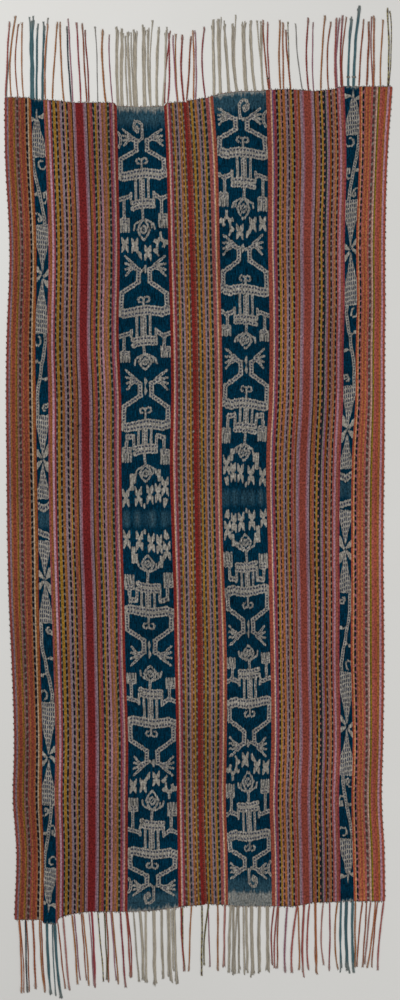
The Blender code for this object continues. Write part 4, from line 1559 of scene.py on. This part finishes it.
def striped_cotton():
    """Handspun cotton, warp faced: the eye sees only warp, in close ribs, matt, with a thread's worth of
    difference in every dyed colour and soft smudges from years of wear."""
    material, tree = empty_material("striped warp ikat cotton")
    loom = add(tree, "UVMap", uv_map="loom")
    across, along = add(tree, "SeparateXYZ", (loom,)).node.outputs[:2]
    yarn = add(tree, "Attribute", out="Color", attribute_name="yarn")
    stored = {name: add(tree, "Attribute", out="Fac", attribute_name=name)
              for name in ("lane", "mark", *BAND_FIELDS)}
    thread = blotches(tree, loom, 0.0012, 0.022, 1.0)
    fleck = blotches(tree, loom, 0.0042, 0.0056, 2.0)
    drift = blotches(tree, loom, 0.02, 0.05, 1.0)
    smudge = blotches(tree, loom, 0.11, 0.26, 3.0)
    stripe = yarn_turns(tree, stored["lane"], along, fleck, drift, yarn)
    ikat = resisted_indigo(tree, stored, along, thread, drift)
    cloth = add(tree, "Mix", {0: yarn.node.outputs["Alpha"], 6: stripe, 7: ikat}, **COLOURED)
    cloth = add(tree, "Mix", {0: stored["mark"], 6: cloth, 7: linear("14100E")}, **COLOURED)
    tinted = lit(tree, cloth, (thread, 0.6, 0.7), (fleck, 2.4, -0.2), (smudge, 0.8, 0.6))
    relief = weave_relief(tree, across, along)
    shader = add(tree, "BsdfPrincipled", {
        "Base Color": tinted, "Roughness": 0.92, "Specular IOR Level": 0.03, "Normal": relief})
    add(tree, "OutputMaterial", {"Surface": shader})
    return material


def twisted_cotton(name, roughness=0.9):
    """Loose ends of the same handspun cotton, two plies twisted by hand: matt and hairy, with painted shade
    in the groove between the plies."""
    material, tree = empty_material(name)
    yarn = add(tree, "Attribute", out="Color", attribute_name="yarn")
    ply_groove_shade = add(tree, "Attribute", out="Fac", attribute_name="ply_groove_shade")
    place = add(tree, "TexCoord", out="Object")
    hair = blotches(tree, place, 0.0009, 0.0016, 2.0)
    patch = blotches(tree, place, 0.004, 0.007, 1.0)
    speckles = add(tree, "MapRange", (patch, 0.45, 0.55), **EASED)
    speckles = add(tree, "Math", (speckles, yarn.node.outputs["Alpha"]), **TIMES)
    coloured = add(tree, "Mix", {0: speckles, 6: yarn, 7: linear("4A3A2C")}, **COLOURED)
    # Painted shade: the ply swelling darkens the colour in the groove between the two plies
    tinted = lit(tree, coloured, (ply_groove_shade, 0.14, 0.9), (hair, 0.7, 0.65), (patch, 0.4, 0.8))
    bump = add(tree, "Bump", {"Height": hair, "Distance": 0.0005, "Strength": 0.5})
    shader = add(tree, "BsdfPrincipled", {
        "Base Color": tinted, "Roughness": roughness, "Specular IOR Level": 0.2,
        "Sheen Weight": 0.15, "Sheen Roughness": 0.5, "Normal": bump})
    add(tree, "OutputMaterial", {"Surface": shader})
    return material


def plain_floor():
    """A pale matt studio floor, with the faint mottle of painted board."""
    material, tree = empty_material("pale studio floor")
    mottle = blotches(tree, add(tree, "TexCoord", out="Object"), 0.3, 0.3, 3.0)
    colour = add(tree, "Mix", {0: mottle, 6: linear("D9D8D4"), 7: linear("DEDDDA")}, **COLOURED)
    shader = add(tree, "BsdfPrincipled", {"Base Color": colour, "Roughness": 0.8})
    add(tree, "OutputMaterial", {"Surface": shader})
    return material


def studio():
    """Floor, soft lights and the camera, which looks straight down on the middle of the picture."""
    mesh = bpy.data.meshes.new("floor")
    corners = [(x * FLOOR_HALF, y * FLOOR_HALF, FLOOR_HEIGHT)
               for x, y in ((-1, -1), (1, -1), (1, 1), (-1, 1))]
    mesh.from_pydata(corners, [], [(0, 1, 2, 3)])
    mesh.materials.append(plain_floor())
    set_in_scene("floor", mesh)

    for name, place, size, power in LIGHTS:
        lamp = bpy.data.lights.new(name, "AREA")
        lamp.shape = "SQUARE"
        lamp.size = size
        lamp.energy = power
        holder = set_in_scene(name, lamp, place)
        holder.rotation_euler = (-holder.location).to_track_quat("-Z", "Y").to_euler()

    world = bpy.data.worlds.new("studio air")
    world.use_nodes = True
    air = world.node_tree.nodes["Background"].inputs
    air["Color"].default_value = (1.0, 1.0, 1.0, 1.0)
    air["Strength"].default_value = AIR_STRENGTH
    bpy.context.scene.world = world

    lens = bpy.data.cameras.new("camera")
    lens.sensor_width = SENSOR
    lens.lens = SENSOR * CAMERA_HEIGHT / PICTURE_HEIGHT
    lens.clip_end = 50.0
    camera_place = [at * MM for at in (*PICTURE_MIDDLE, CAMERA_HEIGHT)]
    bpy.context.scene.camera = set_in_scene("camera", lens, camera_place)
    bpy.context.scene.view_settings.view_transform = "Standard"


def dress(made, material, slot, *nodes):
    """Gives a piece its material and its body, and hides the solids that it stands for."""
    made.data.materials.append(material)
    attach(made, "root")
    if nodes:
        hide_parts(*nodes)
    return made


def build():
    """Both panels, their fringes, the weft's turns, the sewing and the studio."""
    weave = striped_cotton()
    twist = twisted_cotton("hand twisted cotton warp ends")
    weft = twisted_cotton("undyed cotton weft", 0.92)
    thread = twisted_cotton("red sewing thread", 0.85)
    fringes = {}
    for end in OUTWARD:
        for panel in PANELS:
            place = end + "_" + panel["side"]
            made = fringe("strands_" + place, panel, end, STRANDS[place])
            fringes[place] = dress(made, twist, "twisted_warp", "fringe_" + place)
    stitches = dress(seam_stitches(PANELS[0]), thread, "twisted_warp")
    stray = dress(stray_stitch(), weft, "twisted_warp")
    for panel in PANELS:
        side = panel["side"]
        cloth = dress(cloth_panel(panel), weave, "striped_cotton", "panel_" + side)
        loops = dress(weft_loops(panel), weft, "twisted_warp")
        companions = [loops] + [fringes[place] for place in fringes if place.endswith(side)]
        if side == "left":
            companions += [stitches, stray]
    studio()


build()
